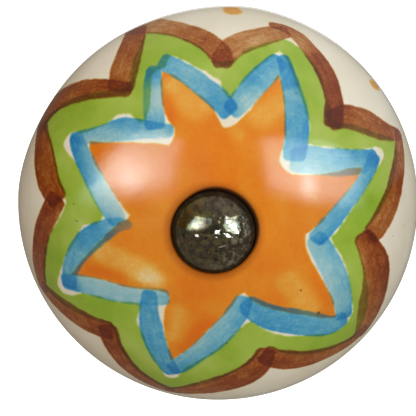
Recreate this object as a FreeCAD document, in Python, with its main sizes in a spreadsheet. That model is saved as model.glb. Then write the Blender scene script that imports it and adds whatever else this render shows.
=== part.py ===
# Hand-painted ceramic cabinet knob on a domed bolt, in millimetres.
#
# The knob's axis runs along Y. The door's face is the plane y = 0, the crown of the knob looks along -Y
# and the threaded stud goes back through the door along +Y. Each piece is drawn round its own seat and
# then placed. A turned piece is an outline in a half plane: first the distance from the axis, then the
# height above the piece's seat, towards the front of the knob.
import FreeCAD, Part
import math
import os
import Sketcher

SIZES = [
    ("knob_radius", 20.0, "ceramic at its widest ring"),
    ("dome_height", 14.0, "widest ring to crown, before the seat is sunk"),
    ("belly_depth", 13.0, "foot face to widest ring"),
    ("crown_curve", 28.0, "radius of the shallow arc over the crown"),
    ("belly_curve", 9.0, "radius of the arc behind the widest ring"),
    ("neck_curve", 5.5, "radius of the hollow between belly and foot"),
    ("foot_radius", 8.2, "unglazed foot that stands on the collar"),
    ("foot_land", 0.8, "straight side of the foot"),
    ("foot_chamfer", 0.35, "edge of the foot"),
    ("bore_clearance", 0.75, "hole through the ceramic, wider than the thread"),
    ("bore_chamfer", 0.4, "both mouths of that hole"),
    ("seat_clearance", 0.35, "gap between the bolt's head and the wall of its seat"),
    ("seat_depth", 0.8, "crown to the floor of the seat"),
    ("seat_chamfer", 0.25, "softened lip of the seat"),
    ("head_radius", 4.2, "domed head of the bolt"),
    ("head_rim", 0.7, "straight rim of the head"),
    ("head_dome", 2.1, "rise of the dome above the rim"),
    ("head_chamfer", 0.2, "lower edge of the rim"),
    ("shank_radius", 1.78, "rolled blank, at the pitch radius of the thread"),
    ("thread_radius", 2.0, "outside of the thread"),
    ("thread_lead", 0.3, "thread starts this far behind the retaining nut"),
    ("stud_length", 28.0, "door face to the tip of the stud"),
    ("tip_chamfer", 0.5, "end of the stud"),
    ("collar_height", 6.0, "door face to the seat of the foot"),
    ("collar_sheet", 0.9, "pressed sheet of the collar"),
    ("flange_radius", 12.0, "flange of the collar, flat on the door"),
    ("cup_root_radius", 9.9, "outside of the cup where it meets the flange"),
    ("cup_top_radius", 9.4, "outside of the cup at the top, before rounding"),
    ("shoulder_round", 1.3, "bend at the top of the cup"),
    ("root_round", 0.8, "bend between cup and flange"),
    ("flange_chamfer", 0.25, "outer edge of the flange"),
    ("collar_hole_clearance", 0.25, "hole of the collar, wider than the thread"),
    ("washer_radius", 4.5, "plain washer under the retaining nut"),
    ("washer_thickness", 0.8, "plain washer under the retaining nut"),
    ("washer_hole_clearance", 0.15, "hole of the washer, wider than the thread"),
    ("washer_chamfer", 0.12, "stamped edge of the washer"),
    ("nut_flats", 7.0, "retaining nut across its flats"),
    ("nut_height", 3.2, "retaining nut"),
    ("nut_bore_clearance", 0.03, "engaged thread, drawn at the pitch radius"),
    ("nut_chamfer", 0.25, "mouths of the nut's bore"),
    ("nut_corner_cut", 0.35, "how far the corners are turned down"),
    ("nut_corner_angle", 30.0, "slope of the turned corners, in degrees"),
]

NUT_CORNER = "(sizes.nut_flats / 2 / cos(30 deg))"

# Heights above the door face, from which every piece takes its place.
CUP_CEILING = "(sizes.collar_height - sizes.collar_sheet)"
NUT_SEAT = f"({CUP_CEILING} - sizes.washer_thickness)"
NUT_BACK = f"({NUT_SEAT} - sizes.nut_height)"
SEAT_FLOOR = "(sizes.belly_depth + sizes.dome_height - sizes.seat_depth)"
HEAD_SEAT = f"(sizes.collar_height + {SEAT_FLOOR})"

# The sketcher's own numbers for a sketch's two axes and for the points of an edge.
ACROSS_AXIS, ALONG_AXIS = range(-1, -3, -1)
START, END, CENTRE = range(1, 4)
ORIGIN = (ACROSS_AXIS, START)


def write_sheet(doc):
    """The driving dimensions, one row each: name, value, note."""
    sheet = doc.addObject("Spreadsheet::Sheet", "sizes")
    for row, (alias, value, note) in enumerate(SIZES, start=1):
        sheet.set(f"A{row}", alias)
        sheet.set(f"B{row}", str(value))
        sheet.set(f"C{row}", note)
        sheet.setAlias(f"B{row}", alias)
    doc.recompute()
    return sheet


def origin_plane(body, role):
    return next(f for f in body.Origin.OriginFeatures if f.Role == role)


def half_plane(body, name):
    """A sketch through the axis, turned so that its second coordinate rises towards the crown."""
    sketch = body.newObject("Sketcher::SketchObject", name)
    sketch.AttachmentSupport = [(origin_plane(body, "XY_Plane"), "")]
    sketch.MapMode = "FlatFace"
    half_turn = FreeCAD.Rotation(FreeCAD.Vector(0, 0, 1), 180)
    sketch.AttachmentOffset = FreeCAD.Placement(FreeCAD.Vector(), half_turn)
    return sketch


def cross_plane(body, name):
    """A sketch square to the axis, at the body's own seat, with its normal towards the crown."""
    sketch = body.newObject("Sketcher::SketchObject", name)
    sketch.AttachmentSupport = [(origin_plane(body, "XZ_Plane"), "")]
    sketch.MapMode = "FlatFace"
    return sketch


class Outline:
    """A closed outline, drawn edge by edge, whose corners are tied together as it closes."""

    def __init__(self, sketch, start):
        self.sketch = sketch
        self.first = start
        self.here = start
        self.edges = []

    def _add(self, curve, entry, leave, smooth):
        index = self.sketch.addGeometry(curve, False)
        self.edges.append((index, entry, leave, smooth))
        return index

    def line(self, x, y):
        ends = (FreeCAD.Vector(*self.here, 0), FreeCAD.Vector(x, y, 0))
        self.here = (x, y)
        return self._add(Part.LineSegment(*ends), START, END, False)

    def arc(self, centre, end, smooth=False, hollow=False):
        """An arc about centre. A hollow one runs clockwise. A smooth one is tangent to its neighbour."""
        radius = math.dist(centre, end)
        begin = self.here
        if hollow:
            begin, end = end, begin
        low = math.atan2(begin[1] - centre[1], begin[0] - centre[0])
        high = math.atan2(end[1] - centre[1], end[0] - centre[0])
        circle = Part.Circle(FreeCAD.Vector(*centre, 0), FreeCAD.Vector(0, 0, 1), radius)
        self.here = begin if hollow else end
        entry, leave = (END, START) if hollow else (START, END)
        return self._add(Part.ArcOfCircle(circle, low, high), entry, leave, smooth)

    def close(self):
        self.line(*self.first)
        for before, after in zip(self.edges, self.edges[1:] + self.edges[:1]):
            kind = "Tangent" if after[3] else "Coincident"
            tie = Sketcher.Constraint(kind, before[0], before[2], after[0], after[1])
            self.sketch.addConstraint(tie)


def fix(sketch, kind, *geometry):
    sketch.addConstraint(Sketcher.Constraint(kind, *geometry))


def size(sketch, name, formula, kind, *geometry):
    """A named dimension whose value is a formula of the sheet's cells."""
    value = float(sketch.evalExpression(formula))
    index = sketch.addConstraint(Sketcher.Constraint(kind, *geometry, value))
    sketch.renameConstraint(index, name)
    sketch.setExpression(f"Constraints.{name}", formula)


def level_or_upright(sketch, level=(), upright=()):
    for index in level:
        fix(sketch, "Horizontal", index)
    for index in upright:
        fix(sketch, "Vertical", index)


def turn(body, sketch):
    """Spins an outline about the knob's axis."""
    spun = body.newObject("PartDesign::Revolution", f"{sketch.Name}_turned")
    spun.Profile = sketch
    spun.ReferenceAxis = (sketch, ["V_Axis"])
    spun.Angle = 360
    body.Document.recompute()
    return spun


def rings(feature, radius, height):
    """Names of the circular edges with this radius at this height above the body's seat."""
    found = []
    for number, edge in enumerate(feature.Shape.Edges, start=1):
        if edge.Degenerated or not isinstance(edge.Curve, Part.Circle):
            continue
        near_radius = abs(edge.Curve.Radius - radius) < 1e-4
        near_height = abs(edge.Curve.Center.y + height) < 1e-4
        if near_radius and near_height:
            found.append(f"Edge{number}")
    if not found:
        raise RuntimeError(f"{feature.Name} has no ring of radius {radius:.3f} at height {height:.3f}")
    return found


def dress(body, kind, base, edges, formula):
    """A fillet or chamfer on some edges of the last feature."""
    feature = body.newObject(f"PartDesign::{kind}", f"{base.Name}_{kind.lower()}")
    feature.Base = (base, edges)
    feature.setExpression("Radius" if kind == "Fillet" else "Size", formula)
    body.Document.recompute()
    return feature


def new_body(doc, label):
    body = doc.addObject("PartDesign::Body", label)
    body.Label = label
    return body


def stand_at(body, height):
    """Places a body with its seat this high above the door, where height is a formula."""
    body.setExpression("Placement.Base.y", f"-{height}")


def meeting_of_arcs(centre, radius, towards):
    """The point of a circle that faces another circle's centre."""
    span = math.dist(centre, towards)
    step = radius / span
    return (centre[0] + (towards[0] - centre[0]) * step, centre[1] + (towards[1] - centre[1]) * step)


def shoulder_radius(z):
    """Radius of the arc that is tangent to the crown's arc and upright at the widest ring."""
    drop = z.dome_height - z.crown_curve
    return (z.crown_curve**2 - z.knob_radius**2 - drop**2) / (2 * (z.crown_curve - z.knob_radius))


def neck_centre(z, belly):
    """Centre of the hollow arc through the foot's edge that is tangent to the belly's arc."""
    foot = (z.foot_radius, z.foot_land)
    apart = math.dist(foot, belly)
    reach = z.belly_curve + z.neck_curve
    along = (apart**2 + z.neck_curve**2 - reach**2) / (2 * apart)
    aside = math.sqrt(z.neck_curve**2 - along**2)
    unit = ((belly[0] - foot[0]) / apart, (belly[1] - foot[1]) / apart)
    return (foot[0] + unit[0] * along + unit[1] * aside, foot[1] + unit[1] * along - unit[0] * aside)


def draw_ceramic(doc, z):
    """The ceramic: shallow crown, full shoulder, rounded belly and hollow neck, turned in one piece."""
    body = new_body(doc, "knob_body")
    sketch = half_plane(body, "ceramic_outline")
    bore = z.thread_radius + z.bore_clearance
    seat = z.head_radius + z.seat_clearance
    widest = z.belly_depth
    height = z.belly_depth + z.dome_height
    seat_floor = height - z.seat_depth
    crown = (0.0, height - z.crown_curve)
    shoulder = (z.knob_radius - shoulder_radius(z), widest)
    belly = (z.knob_radius - z.belly_curve, widest)
    neck = neck_centre(z, belly)
    lip = (seat, crown[1] + math.sqrt(z.crown_curve**2 - seat**2))

    outline = Outline(sketch, (bore, 0.0))
    foot_face = outline.line(z.foot_radius, 0.0)
    foot_side = outline.line(z.foot_radius, z.foot_land)
    neck_arc = outline.arc(neck, meeting_of_arcs(neck, z.neck_curve, belly), hollow=True)
    belly_arc = outline.arc(belly, (z.knob_radius, widest), smooth=True)
    shoulder_end = meeting_of_arcs(crown, z.crown_curve, shoulder)
    shoulder_arc = outline.arc(shoulder, shoulder_end)
    crown_arc = outline.arc(crown, lip, smooth=True)
    seat_wall = outline.line(seat, seat_floor)
    seat_face = outline.line(bore, seat_floor)
    outline.close()
    bore_wall = outline.edges[-1][0]

    level_or_upright(sketch, (foot_face, seat_face), (foot_side, seat_wall, bore_wall))
    top = sketch.addGeometry(Part.Point(FreeCAD.Vector(0, height, 0)), True)
    fix(sketch, "PointOnObject", top, START, ALONG_AXIS)
    fix(sketch, "PointOnObject", crown_arc, CENTRE, ALONG_AXIS)
    fix(sketch, "PointOnObject", foot_face, START, ACROSS_AXIS)
    fix(sketch, "Horizontal", belly_arc, CENTRE, belly_arc, END)
    fix(sketch, "Horizontal", shoulder_arc, CENTRE, shoulder_arc, START)
    size(sketch, "belly_depth", "sizes.belly_depth", "DistanceY", *ORIGIN, belly_arc, END)
    size(sketch, "dome_height", "sizes.dome_height", "DistanceY", belly_arc, END, top, START)
    size(sketch, "knob_radius", "sizes.knob_radius", "DistanceX", *ORIGIN, belly_arc, END)
    size(sketch, "crown_drop", "sizes.crown_curve", "DistanceY", crown_arc, CENTRE, top, START)
    size(sketch, "crown_curve", "sizes.crown_curve", "Radius", crown_arc)
    size(sketch, "belly_curve", "sizes.belly_curve", "Radius", belly_arc)
    size(sketch, "neck_curve", "sizes.neck_curve", "Radius", neck_arc)
    size(sketch, "foot_radius", "sizes.foot_radius", "DistanceX", *ORIGIN, foot_side, END)
    size(sketch, "foot_land", "sizes.foot_land", "DistanceY", foot_side, START, foot_side, END)
    bore_formula = "sizes.thread_radius + sizes.bore_clearance"
    size(sketch, "bore_radius", bore_formula, "DistanceX", *ORIGIN, foot_face, START)
    seat_formula = "sizes.head_radius + sizes.seat_clearance"
    size(sketch, "seat_radius", seat_formula, "DistanceX", *ORIGIN, seat_wall, END)
    size(sketch, "seat_floor", SEAT_FLOOR, "DistanceY", *ORIGIN, seat_wall, END)

    turned = turn(body, sketch)
    eased = dress(body, "Chamfer", turned, rings(turned, seat, lip[1]), "sizes.seat_chamfer")
    mouths = rings(eased, bore, 0.0) + rings(eased, bore, seat_floor)
    eased = dress(body, "Chamfer", eased, mouths, "sizes.bore_chamfer")
    dress(body, "Chamfer", eased, rings(eased, z.foot_radius, 0.0), "sizes.foot_chamfer")
    stand_at(body, "sizes.collar_height")
    return body


def draw_bolt(doc, z):
    """The bolt: domed head, plain rolled shank through the ceramic, then thread to the tip, in one piece."""
    body = new_body(doc, "domed_bolt")
    sketch = half_plane(body, "bolt_outline")
    head_seat = float(sketch.evalExpression(HEAD_SEAT))
    thread_from = float(sketch.evalExpression(NUT_BACK)) - z.thread_lead - head_seat
    tip = -(head_seat + z.stud_length)
    top = z.head_rim + z.head_dome
    dome_radius = (z.head_radius**2 + z.head_dome**2) / (2 * z.head_dome)

    outline = Outline(sketch, (0.0, tip))
    tip_face = outline.line(z.thread_radius, tip)
    thread_side = outline.line(z.thread_radius, thread_from)
    thread_start = outline.line(z.shank_radius, thread_from)
    shank_side = outline.line(z.shank_radius, 0.0)
    head_seat_face = outline.line(z.head_radius, 0.0)
    rim_side = outline.line(z.head_radius, z.head_rim)
    dome_arc = outline.arc((0.0, top - dome_radius), (0.0, top))
    outline.close()
    axis_side = outline.edges[-1][0]

    level_or_upright(sketch, (tip_face, thread_start, head_seat_face), (thread_side, shank_side, rim_side))
    fix(sketch, "PointOnObject", tip_face, START, ALONG_AXIS)
    fix(sketch, "PointOnObject", axis_side, START, ALONG_AXIS)
    fix(sketch, "PointOnObject", dome_arc, CENTRE, ALONG_AXIS)
    fix(sketch, "PointOnObject", head_seat_face, START, ACROSS_AXIS)
    size(sketch, "thread_radius", "sizes.thread_radius", "DistanceX", *ORIGIN, thread_side, START)
    size(sketch, "shank_radius", "sizes.shank_radius", "DistanceX", *ORIGIN, shank_side, START)
    size(sketch, "head_radius", "sizes.head_radius", "DistanceX", *ORIGIN, rim_side, START)
    size(sketch, "head_rim", "sizes.head_rim", "DistanceY", rim_side, START, rim_side, END)
    size(sketch, "head_dome", "sizes.head_dome", "DistanceY", rim_side, END, dome_arc, END)
    length_formula = f"{HEAD_SEAT} + sizes.stud_length"
    size(sketch, "bolt_length", length_formula, "DistanceY", tip_face, START, *ORIGIN)
    shank_formula = f"{HEAD_SEAT} - {NUT_BACK} + sizes.thread_lead"
    size(sketch, "shank_length", shank_formula, "DistanceY", shank_side, START, *ORIGIN)

    turned = turn(body, sketch)
    tipped = dress(body, "Chamfer", turned, rings(turned, z.thread_radius, tip), "sizes.tip_chamfer")
    dress(body, "Chamfer", tipped, rings(tipped, z.head_radius, 0.0), "sizes.head_chamfer")
    stand_at(body, HEAD_SEAT)
    return body


def draw_collar(doc, z):
    """The collar: a cup pressed from sheet, with a flange on the door and a flat top for the foot."""
    body = new_body(doc, "back_collar")
    sketch = half_plane(body, "collar_outline")
    hole = z.thread_radius + z.collar_hole_clearance
    ceiling = z.collar_height - z.collar_sheet
    lean = (z.cup_root_radius - z.cup_top_radius) / ceiling
    inset = z.collar_sheet * math.hypot(1.0, lean)
    inner_top = z.cup_top_radius - inset + lean * z.collar_sheet
    inner_root = inner_top + lean * ceiling

    outline = Outline(sketch, (inner_root, 0.0))
    flange_face = outline.line(z.flange_radius, 0.0)
    flange_side = outline.line(z.flange_radius, z.collar_sheet)
    flange_back = outline.line(z.cup_root_radius, z.collar_sheet)
    cup_side = outline.line(z.cup_top_radius, z.collar_height)
    cup_top = outline.line(hole, z.collar_height)
    hole_wall = outline.line(hole, ceiling)
    cup_ceiling = outline.line(inner_top, ceiling)
    outline.close()
    cup_inside = outline.edges[-1][0]

    level_or_upright(sketch, (flange_face, flange_back, cup_top, cup_ceiling), (flange_side, hole_wall))
    fix(sketch, "PointOnObject", flange_face, START, ACROSS_AXIS)
    fix(sketch, "Parallel", cup_side, cup_inside)
    size(sketch, "flange_radius", "sizes.flange_radius", "DistanceX", *ORIGIN, flange_side, START)
    size(sketch, "flange_sheet", "sizes.collar_sheet", "DistanceY", flange_side, START, flange_side, END)
    size(sketch, "cup_root_radius", "sizes.cup_root_radius", "DistanceX", *ORIGIN, cup_side, START)
    size(sketch, "cup_top_radius", "sizes.cup_top_radius", "DistanceX", *ORIGIN, cup_side, END)
    size(sketch, "collar_height", "sizes.collar_height", "DistanceY", *ORIGIN, cup_side, END)
    size(sketch, "top_sheet", "sizes.collar_sheet", "DistanceY", hole_wall, END, hole_wall, START)
    size(sketch, "wall_sheet", "sizes.collar_sheet", "Distance", cup_inside, START, cup_side)
    hole_formula = "sizes.thread_radius + sizes.collar_hole_clearance"
    size(sketch, "hole_radius", hole_formula, "DistanceX", *ORIGIN, hole_wall, START)

    pressed = turn(body, sketch)
    shoulder = rings(pressed, z.cup_top_radius, z.collar_height)
    bent = dress(body, "Fillet", pressed, shoulder, "sizes.shoulder_round")
    inner = rings(bent, inner_top, ceiling)
    bent = dress(body, "Chamfer", bent, inner, "max(sizes.shoulder_round - sizes.collar_sheet; 0.1)")
    root = rings(bent, z.cup_root_radius, z.collar_sheet)
    bent = dress(body, "Fillet", bent, root, "sizes.root_round")
    mouth = rings(bent, inner_root, 0.0)
    bent = dress(body, "Fillet", bent, mouth, "sizes.root_round + sizes.collar_sheet")
    edges = rings(bent, z.flange_radius, z.collar_sheet)
    dress(body, "Chamfer", bent, edges, "sizes.flange_chamfer")
    stand_at(body, "0")
    return body


def draw_washer(doc, z):
    """The plain washer that spreads the retaining nut's load over the collar's ceiling."""
    body = new_body(doc, "plain_washer")
    sketch = half_plane(body, "washer_outline")
    hole = z.thread_radius + z.washer_hole_clearance
    outline = Outline(sketch, (hole, -z.washer_thickness))
    back = outline.line(z.washer_radius, -z.washer_thickness)
    rim = outline.line(z.washer_radius, 0.0)
    front = outline.line(hole, 0.0)
    outline.close()
    wall = outline.edges[-1][0]

    level_or_upright(sketch, (back, front), (rim, wall))
    fix(sketch, "PointOnObject", front, START, ACROSS_AXIS)
    size(sketch, "washer_radius", "sizes.washer_radius", "DistanceX", *ORIGIN, rim, END)
    size(sketch, "thickness", "sizes.washer_thickness", "DistanceY", rim, START, rim, END)
    hole_formula = "sizes.thread_radius + sizes.washer_hole_clearance"
    size(sketch, "hole_radius", hole_formula, "DistanceX", *ORIGIN, front, END)

    stamped = turn(body, sketch)
    edges = rings(stamped, z.washer_radius, 0.0) + rings(stamped, z.washer_radius, -z.washer_thickness)
    dress(body, "Chamfer", stamped, edges, "sizes.washer_chamfer")
    stand_at(body, CUP_CEILING)
    return body


def draw_hexagon(sketch, corner_radius):
    """Six equal sides whose corners lie on a circle about the axis, one pair of sides upright."""
    spokes = [math.radians(30 + 60 * step) for step in range(6)]
    points = [(corner_radius * math.cos(spoke), corner_radius * math.sin(spoke)) for spoke in spokes]
    outline = Outline(sketch, points[0])
    sides = [outline.line(*point) for point in points[1:]]
    outline.close()
    sides.append(outline.edges[-1][0])
    circle = Part.Circle(FreeCAD.Vector(), FreeCAD.Vector(0, 0, 1), corner_radius)
    round_corners = sketch.addGeometry(circle, True)
    fix(sketch, "Coincident", round_corners, CENTRE, *ORIGIN)
    for side in sides:
        fix(sketch, "PointOnObject", side, START, round_corners)
    for side in sides[1:-1]:
        fix(sketch, "Equal", sides[0], side)
    fix(sketch, "Vertical", sides[-1])
    return round_corners


def draw_nut(doc, z):
    """The retaining nut: hexagon prism with turned corners, which clamps ceramic and collar to the head."""
    body = new_body(doc, "retaining_nut")
    sketch = cross_plane(body, "nut_outline")
    corner = z.nut_flats / 2 / math.cos(math.radians(30))
    bore = z.shank_radius + z.nut_bore_clearance
    corner_circle = draw_hexagon(sketch, corner)
    hole = sketch.addGeometry(Part.Circle(FreeCAD.Vector(), FreeCAD.Vector(0, 0, 1), bore), False)
    fix(sketch, "Coincident", hole, CENTRE, *ORIGIN)
    size(sketch, "corner_radius", NUT_CORNER, "Radius", corner_circle)
    size(sketch, "bore_radius", "sizes.shank_radius + sizes.nut_bore_clearance", "Radius", hole)

    prism = body.newObject("PartDesign::Pad", "nut_prism")
    prism.Profile = sketch
    prism.Reversed = True
    prism.setExpression("Length", "sizes.nut_height")
    doc.recompute()

    cut = half_plane(body, "corner_cut_outline")
    inner, outer = corner - z.nut_corner_cut, corner + z.nut_corner_cut
    fall = (outer - inner) * math.tan(math.radians(z.nut_corner_angle))
    front = draw_corner_cut(cut, "front", (inner, outer), 0.0, -fall)
    back = draw_corner_cut(cut, "back", (inner, outer), -z.nut_height, fall)
    fix(cut, "PointOnObject", front, START, ACROSS_AXIS)
    size(cut, "nut_height", "sizes.nut_height", "DistanceY", back, START, *ORIGIN)
    groove = body.newObject("PartDesign::Groove", "corner_cut")
    groove.Profile = cut
    groove.ReferenceAxis = (cut, ["V_Axis"])
    groove.Angle = 360
    doc.recompute()
    if groove.Shape.Volume >= prism.Shape.Volume:
        raise RuntimeError("the nut's corners weren't turned down")
    mouths = rings(groove, bore, 0.0) + rings(groove, bore, -z.nut_height)
    dress(body, "Chamfer", groove, mouths, "sizes.nut_chamfer")
    stand_at(body, NUT_SEAT)
    return body


def draw_corner_cut(sketch, end, reach, seat, fall):
    """The triangle that turns the corners down at one end of the nut. Returns its level side."""
    inner, outer = reach
    outline = Outline(sketch, (inner, seat))
    level = outline.line(outer, seat)
    upright = outline.line(outer, seat + fall)
    outline.close()
    level_or_upright(sketch, (level,), (upright,))
    size(sketch, f"{end}_inner", f"{NUT_CORNER} - sizes.nut_corner_cut", "DistanceX", *ORIGIN, level, START)
    size(sketch, f"{end}_outer", f"{NUT_CORNER} + sizes.nut_corner_cut", "DistanceX", *ORIGIN, level, END)
    low, high = (END, START) if fall < 0 else (START, END)
    fall_formula = "2 * sizes.nut_corner_cut * tan(sizes.nut_corner_angle * 1 deg)"
    size(sketch, f"{end}_fall", fall_formula, "DistanceY", upright, low, upright, high)
    return level


def check(doc, bodies):
    """Stops unless every object recomputed and every body is one valid closed solid."""
    for item in doc.Objects:
        if "Invalid" in item.State or "Error" in item.State:
            raise RuntimeError(f"{item.Name} failed: {item.State}")
    for body in bodies:
        shape = body.Shape
        if shape.isNull() or not shape.isValid() or len(shape.Solids) != 1:
            raise RuntimeError(f"{body.Label} is not one valid solid")
        for sketch in (s for s in body.Group if s.isDerivedFrom("Sketcher::SketchObject")):
            if sketch.solve() != 0:
                raise RuntimeError(f"{sketch.Name} can't be solved")


def main():
    doc = FreeCAD.newDocument("cabinet_knob")
    sheet = write_sheet(doc)
    bodies = [draw(doc, sheet) for draw in (draw_ceramic, draw_bolt, draw_collar, draw_washer, draw_nut)]
    doc.recompute()
    check(doc, bodies)
    os.makedirs("parts", exist_ok=True)
    for body in bodies:
        body.Shape.exportStep(f"parts/{body.Label}.step")
        box = body.Shape.BoundBox
        print(f"{body.Label}: {body.Shape.Volume:.1f} mm3, y {box.YMin:.2f} to {box.YMax:.2f}")


main()
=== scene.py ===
# %% [markdown]
# # A hand-painted ceramic cabinet knob
# The knob has five pieces on one axis: a glazed ceramic body, a bolt with a domed head, a pressed
# collar behind the ceramic, and a washer and a nut that hide in the collar's cup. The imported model
# gives their places and sizes. This lesson makes each of them again, finer and with its own finish,
# in the same frame: the axis runs along Y, the crown faces -Y, and +Z is the top of the flower.

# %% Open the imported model
import math
import bmesh
import bpy
import numpy as np
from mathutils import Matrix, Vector


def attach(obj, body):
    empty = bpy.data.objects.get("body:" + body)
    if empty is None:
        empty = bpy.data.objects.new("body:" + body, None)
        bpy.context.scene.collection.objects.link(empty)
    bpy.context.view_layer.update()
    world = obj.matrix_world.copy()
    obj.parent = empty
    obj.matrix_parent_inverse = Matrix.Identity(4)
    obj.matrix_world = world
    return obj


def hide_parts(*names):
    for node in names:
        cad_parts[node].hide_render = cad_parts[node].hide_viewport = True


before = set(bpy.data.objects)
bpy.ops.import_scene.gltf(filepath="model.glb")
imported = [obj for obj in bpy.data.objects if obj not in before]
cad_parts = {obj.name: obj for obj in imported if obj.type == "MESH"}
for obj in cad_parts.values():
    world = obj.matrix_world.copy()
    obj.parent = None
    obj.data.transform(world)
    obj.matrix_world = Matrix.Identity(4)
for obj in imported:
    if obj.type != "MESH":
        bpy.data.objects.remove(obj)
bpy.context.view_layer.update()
MM = 0.001
print("packed pieces:", sorted(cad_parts))

# %% [markdown]
# ## Camera
# The knob is seen almost from the front, from a little above. A long lens, far away, keeps the round
# outline nearly a circle. The camera is aimed at the widest ring and then slid sideways and down, so
# that the knob sits as far right and as high in the picture as it should. Sliding it, rather than
# shifting the lens, keeps the other views centred.

# %% Camera
PICTURE_SIZE = 416
PIXELS_PER_MM = 9.985
CAMERA_AZIMUTH, CAMERA_ELEVATION = math.radians(1.8), math.radians(12.0)
CAMERA_DISTANCE = 450 * MM
AIM = Vector((0, -19 * MM, 0))
AIM_PIXEL = (217.69, 202.57)
SENSOR = 36.0


def towards(azimuth, elevation):
    """A direction away from the knob: azimuth 0 is straight out of the crown, positive to its right."""
    flat = math.cos(elevation)
    return Vector((math.sin(azimuth) * flat, -math.cos(azimuth) * flat, math.sin(elevation)))


back = towards(CAMERA_AZIMUTH, CAMERA_ELEVATION)
right = Vector((math.cos(CAMERA_AZIMUTH), math.sin(CAMERA_AZIMUTH), 0))
up = back.cross(right)
slide_right = -(AIM_PIXEL[0] - PICTURE_SIZE / 2) / PIXELS_PER_MM * MM
slide_up = (AIM_PIXEL[1] - PICTURE_SIZE / 2) / PIXELS_PER_MM * MM

lens = bpy.data.cameras.new("front_camera")
lens.sensor_width = SENSOR
lens.lens = SENSOR * CAMERA_DISTANCE / (PICTURE_SIZE / PIXELS_PER_MM * MM)
lens.clip_start, lens.clip_end = 0.01, 20.0
camera = bpy.data.objects.new("front_camera", lens)
camera.location = AIM + back * CAMERA_DISTANCE + right * slide_right + up * slide_up
camera.rotation_euler = back.to_track_quat("Z", "Y").to_euler()
bpy.context.scene.collection.objects.link(camera)
bpy.context.scene.camera = camera
print(f"lens {lens.lens:.1f} mm at {CAMERA_DISTANCE / MM:.0f} mm")

# %% [markdown]
# ## Colours and wiring
# A painter names colours as a screen shows them, from 0 to 255, while Blender's nodes want light in
# straight proportion. `tint` turns one into the other. Every finish and every Geometry Nodes tree here
# is wired in code, so a small helper adds nodes and joins their sockets. It keeps each recipe short.

# %% Helpers for colours and node trees
def tint(red, green, blue):
    """A screen colour, 0 to 255, as the linear colour that nodes use."""
    shown = [channel / 255 for channel in (red, green, blue)]
    return tuple(c / 12.92 if c <= 0.04045 else ((c + 0.055) / 1.055) ** 2.4 for c in shown)


class Wiring:
    """Adds nodes to a tree and joins their sockets."""

    def __init__(self, tree):
        self.tree = tree
        tree.nodes.clear()

    def node(self, kind, inputs=None, **settings):
        made = self.tree.nodes.new(kind)
        for name, value in settings.items():
            setattr(made, name, value)
        for name, value in (inputs or {}).items():
            self.feed(made.inputs[name], value)
        return made

    def feed(self, socket, value):
        if isinstance(value, bpy.types.NodeSocket):
            self.tree.links.new(value, socket)
        elif isinstance(value, tuple) and socket.type == "RGBA":
            socket.default_value = (*value[:3], 1.0)
        else:
            socket.default_value = value

    def calc(self, operation, *values):
        """One step of arithmetic. The commonest ones have short names of their own."""
        return self.node("ShaderNodeMath", dict(enumerate(values)), operation=operation).outputs[0]

    def plus(self, value, more):
        return self.calc("ADD", value, more)

    def minus(self, value, less):
        return self.calc("SUBTRACT", value, less)

    def times(self, value, factor):
        return self.calc("MULTIPLY", value, factor)

    def most(self, value, other):
        return self.calc("MAXIMUM", value, other)

    def rest(self, share):
        """What a share leaves of 1."""
        return self.calc("SUBTRACT", 1.0, share)

    def axes(self, place):
        """The three numbers of a place."""
        return self.node("ShaderNodeSeparateXYZ", {0: place}).outputs

    def bump(self, height):
        """How a relief, given in mm, tilts the surface."""
        return self.node("ShaderNodeBump", {"Strength": 1.0, "Distance": MM, "Height": height}).outputs[0]

    def vector(self, operation, *values):
        """One step of arithmetic on a place or a colour."""
        made = self.node("ShaderNodeVectorMath", operation=operation)
        sockets = [made.inputs["Scale"]] if operation == "SCALE" else [made.inputs[1]]
        for socket, value in zip([made.inputs[0]] + sockets, values):
            self.feed(socket, value)
        return made.outputs[1] if operation in ("LENGTH", "DOT_PRODUCT") else made.outputs[0]

    def ramp(self, value, low, high, to_low=0.0, to_high=1.0):
        """A smooth step from one level to another while value goes from low to high."""
        levels = {0: value, 1: low, 2: high, 3: to_low, 4: to_high}
        return self.node("ShaderNodeMapRange", levels, interpolation_type="SMOOTHSTEP").outputs[0]

    def blend(self, amount, under, over, how="MIX"):
        """Two colours mixed by an amount from 0 to 1."""
        made = self.node("ShaderNodeMix", data_type="RGBA", blend_type=how)
        for socket, value in zip((made.inputs[0], made.inputs[6], made.inputs[7]), (amount, under, over)):
            self.feed(socket, value)
        return made.outputs[2]

    def noise(self, place, scale, detail=2.0, roughness=0.5, distortion=0.0):
        """Soft cloudy noise around 0.5."""
        levels = {"Vector": place, "Scale": scale, "Detail": detail, "Roughness": roughness,
                  "Distortion": distortion}
        return self.node("ShaderNodeTexNoise", levels).outputs[0]

    def place_in_mm(self):
        """The point on the piece, in millimetres in the row's frame."""
        here = self.node("ShaderNodeTexCoord").outputs["Object"]
        return self.vector("SCALE", here, 1 / MM)

    def reading(self, name, output="Fac"):
        """A value that is stored on the piece's points."""
        return self.node("ShaderNodeAttribute", attribute_name=name).outputs[output]


def new_group(name, inputs, outputs):
    """An empty shader group with named sockets, and the wiring to fill it."""
    group = bpy.data.node_groups.new(name, "ShaderNodeTree")
    kinds = {float: "NodeSocketFloat", tuple: "NodeSocketColor", str: "NodeSocketVector"}
    for label, preset in inputs.items():
        socket = group.interface.new_socket(name=label, in_out="INPUT", socket_type=kinds[type(preset)])
        if isinstance(preset, float):
            socket.default_value = preset
        elif isinstance(preset, tuple):
            socket.default_value = (*preset, 1.0)
    for label, preset in outputs.items():
        group.interface.new_socket(name=label, in_out="OUTPUT", socket_type=kinds[type(preset)])
    wires = Wiring(group)
    entry = wires.node("NodeGroupInput").outputs
    leave = wires.node("NodeGroupOutput").inputs
    return group, wires, entry, leave


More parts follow.
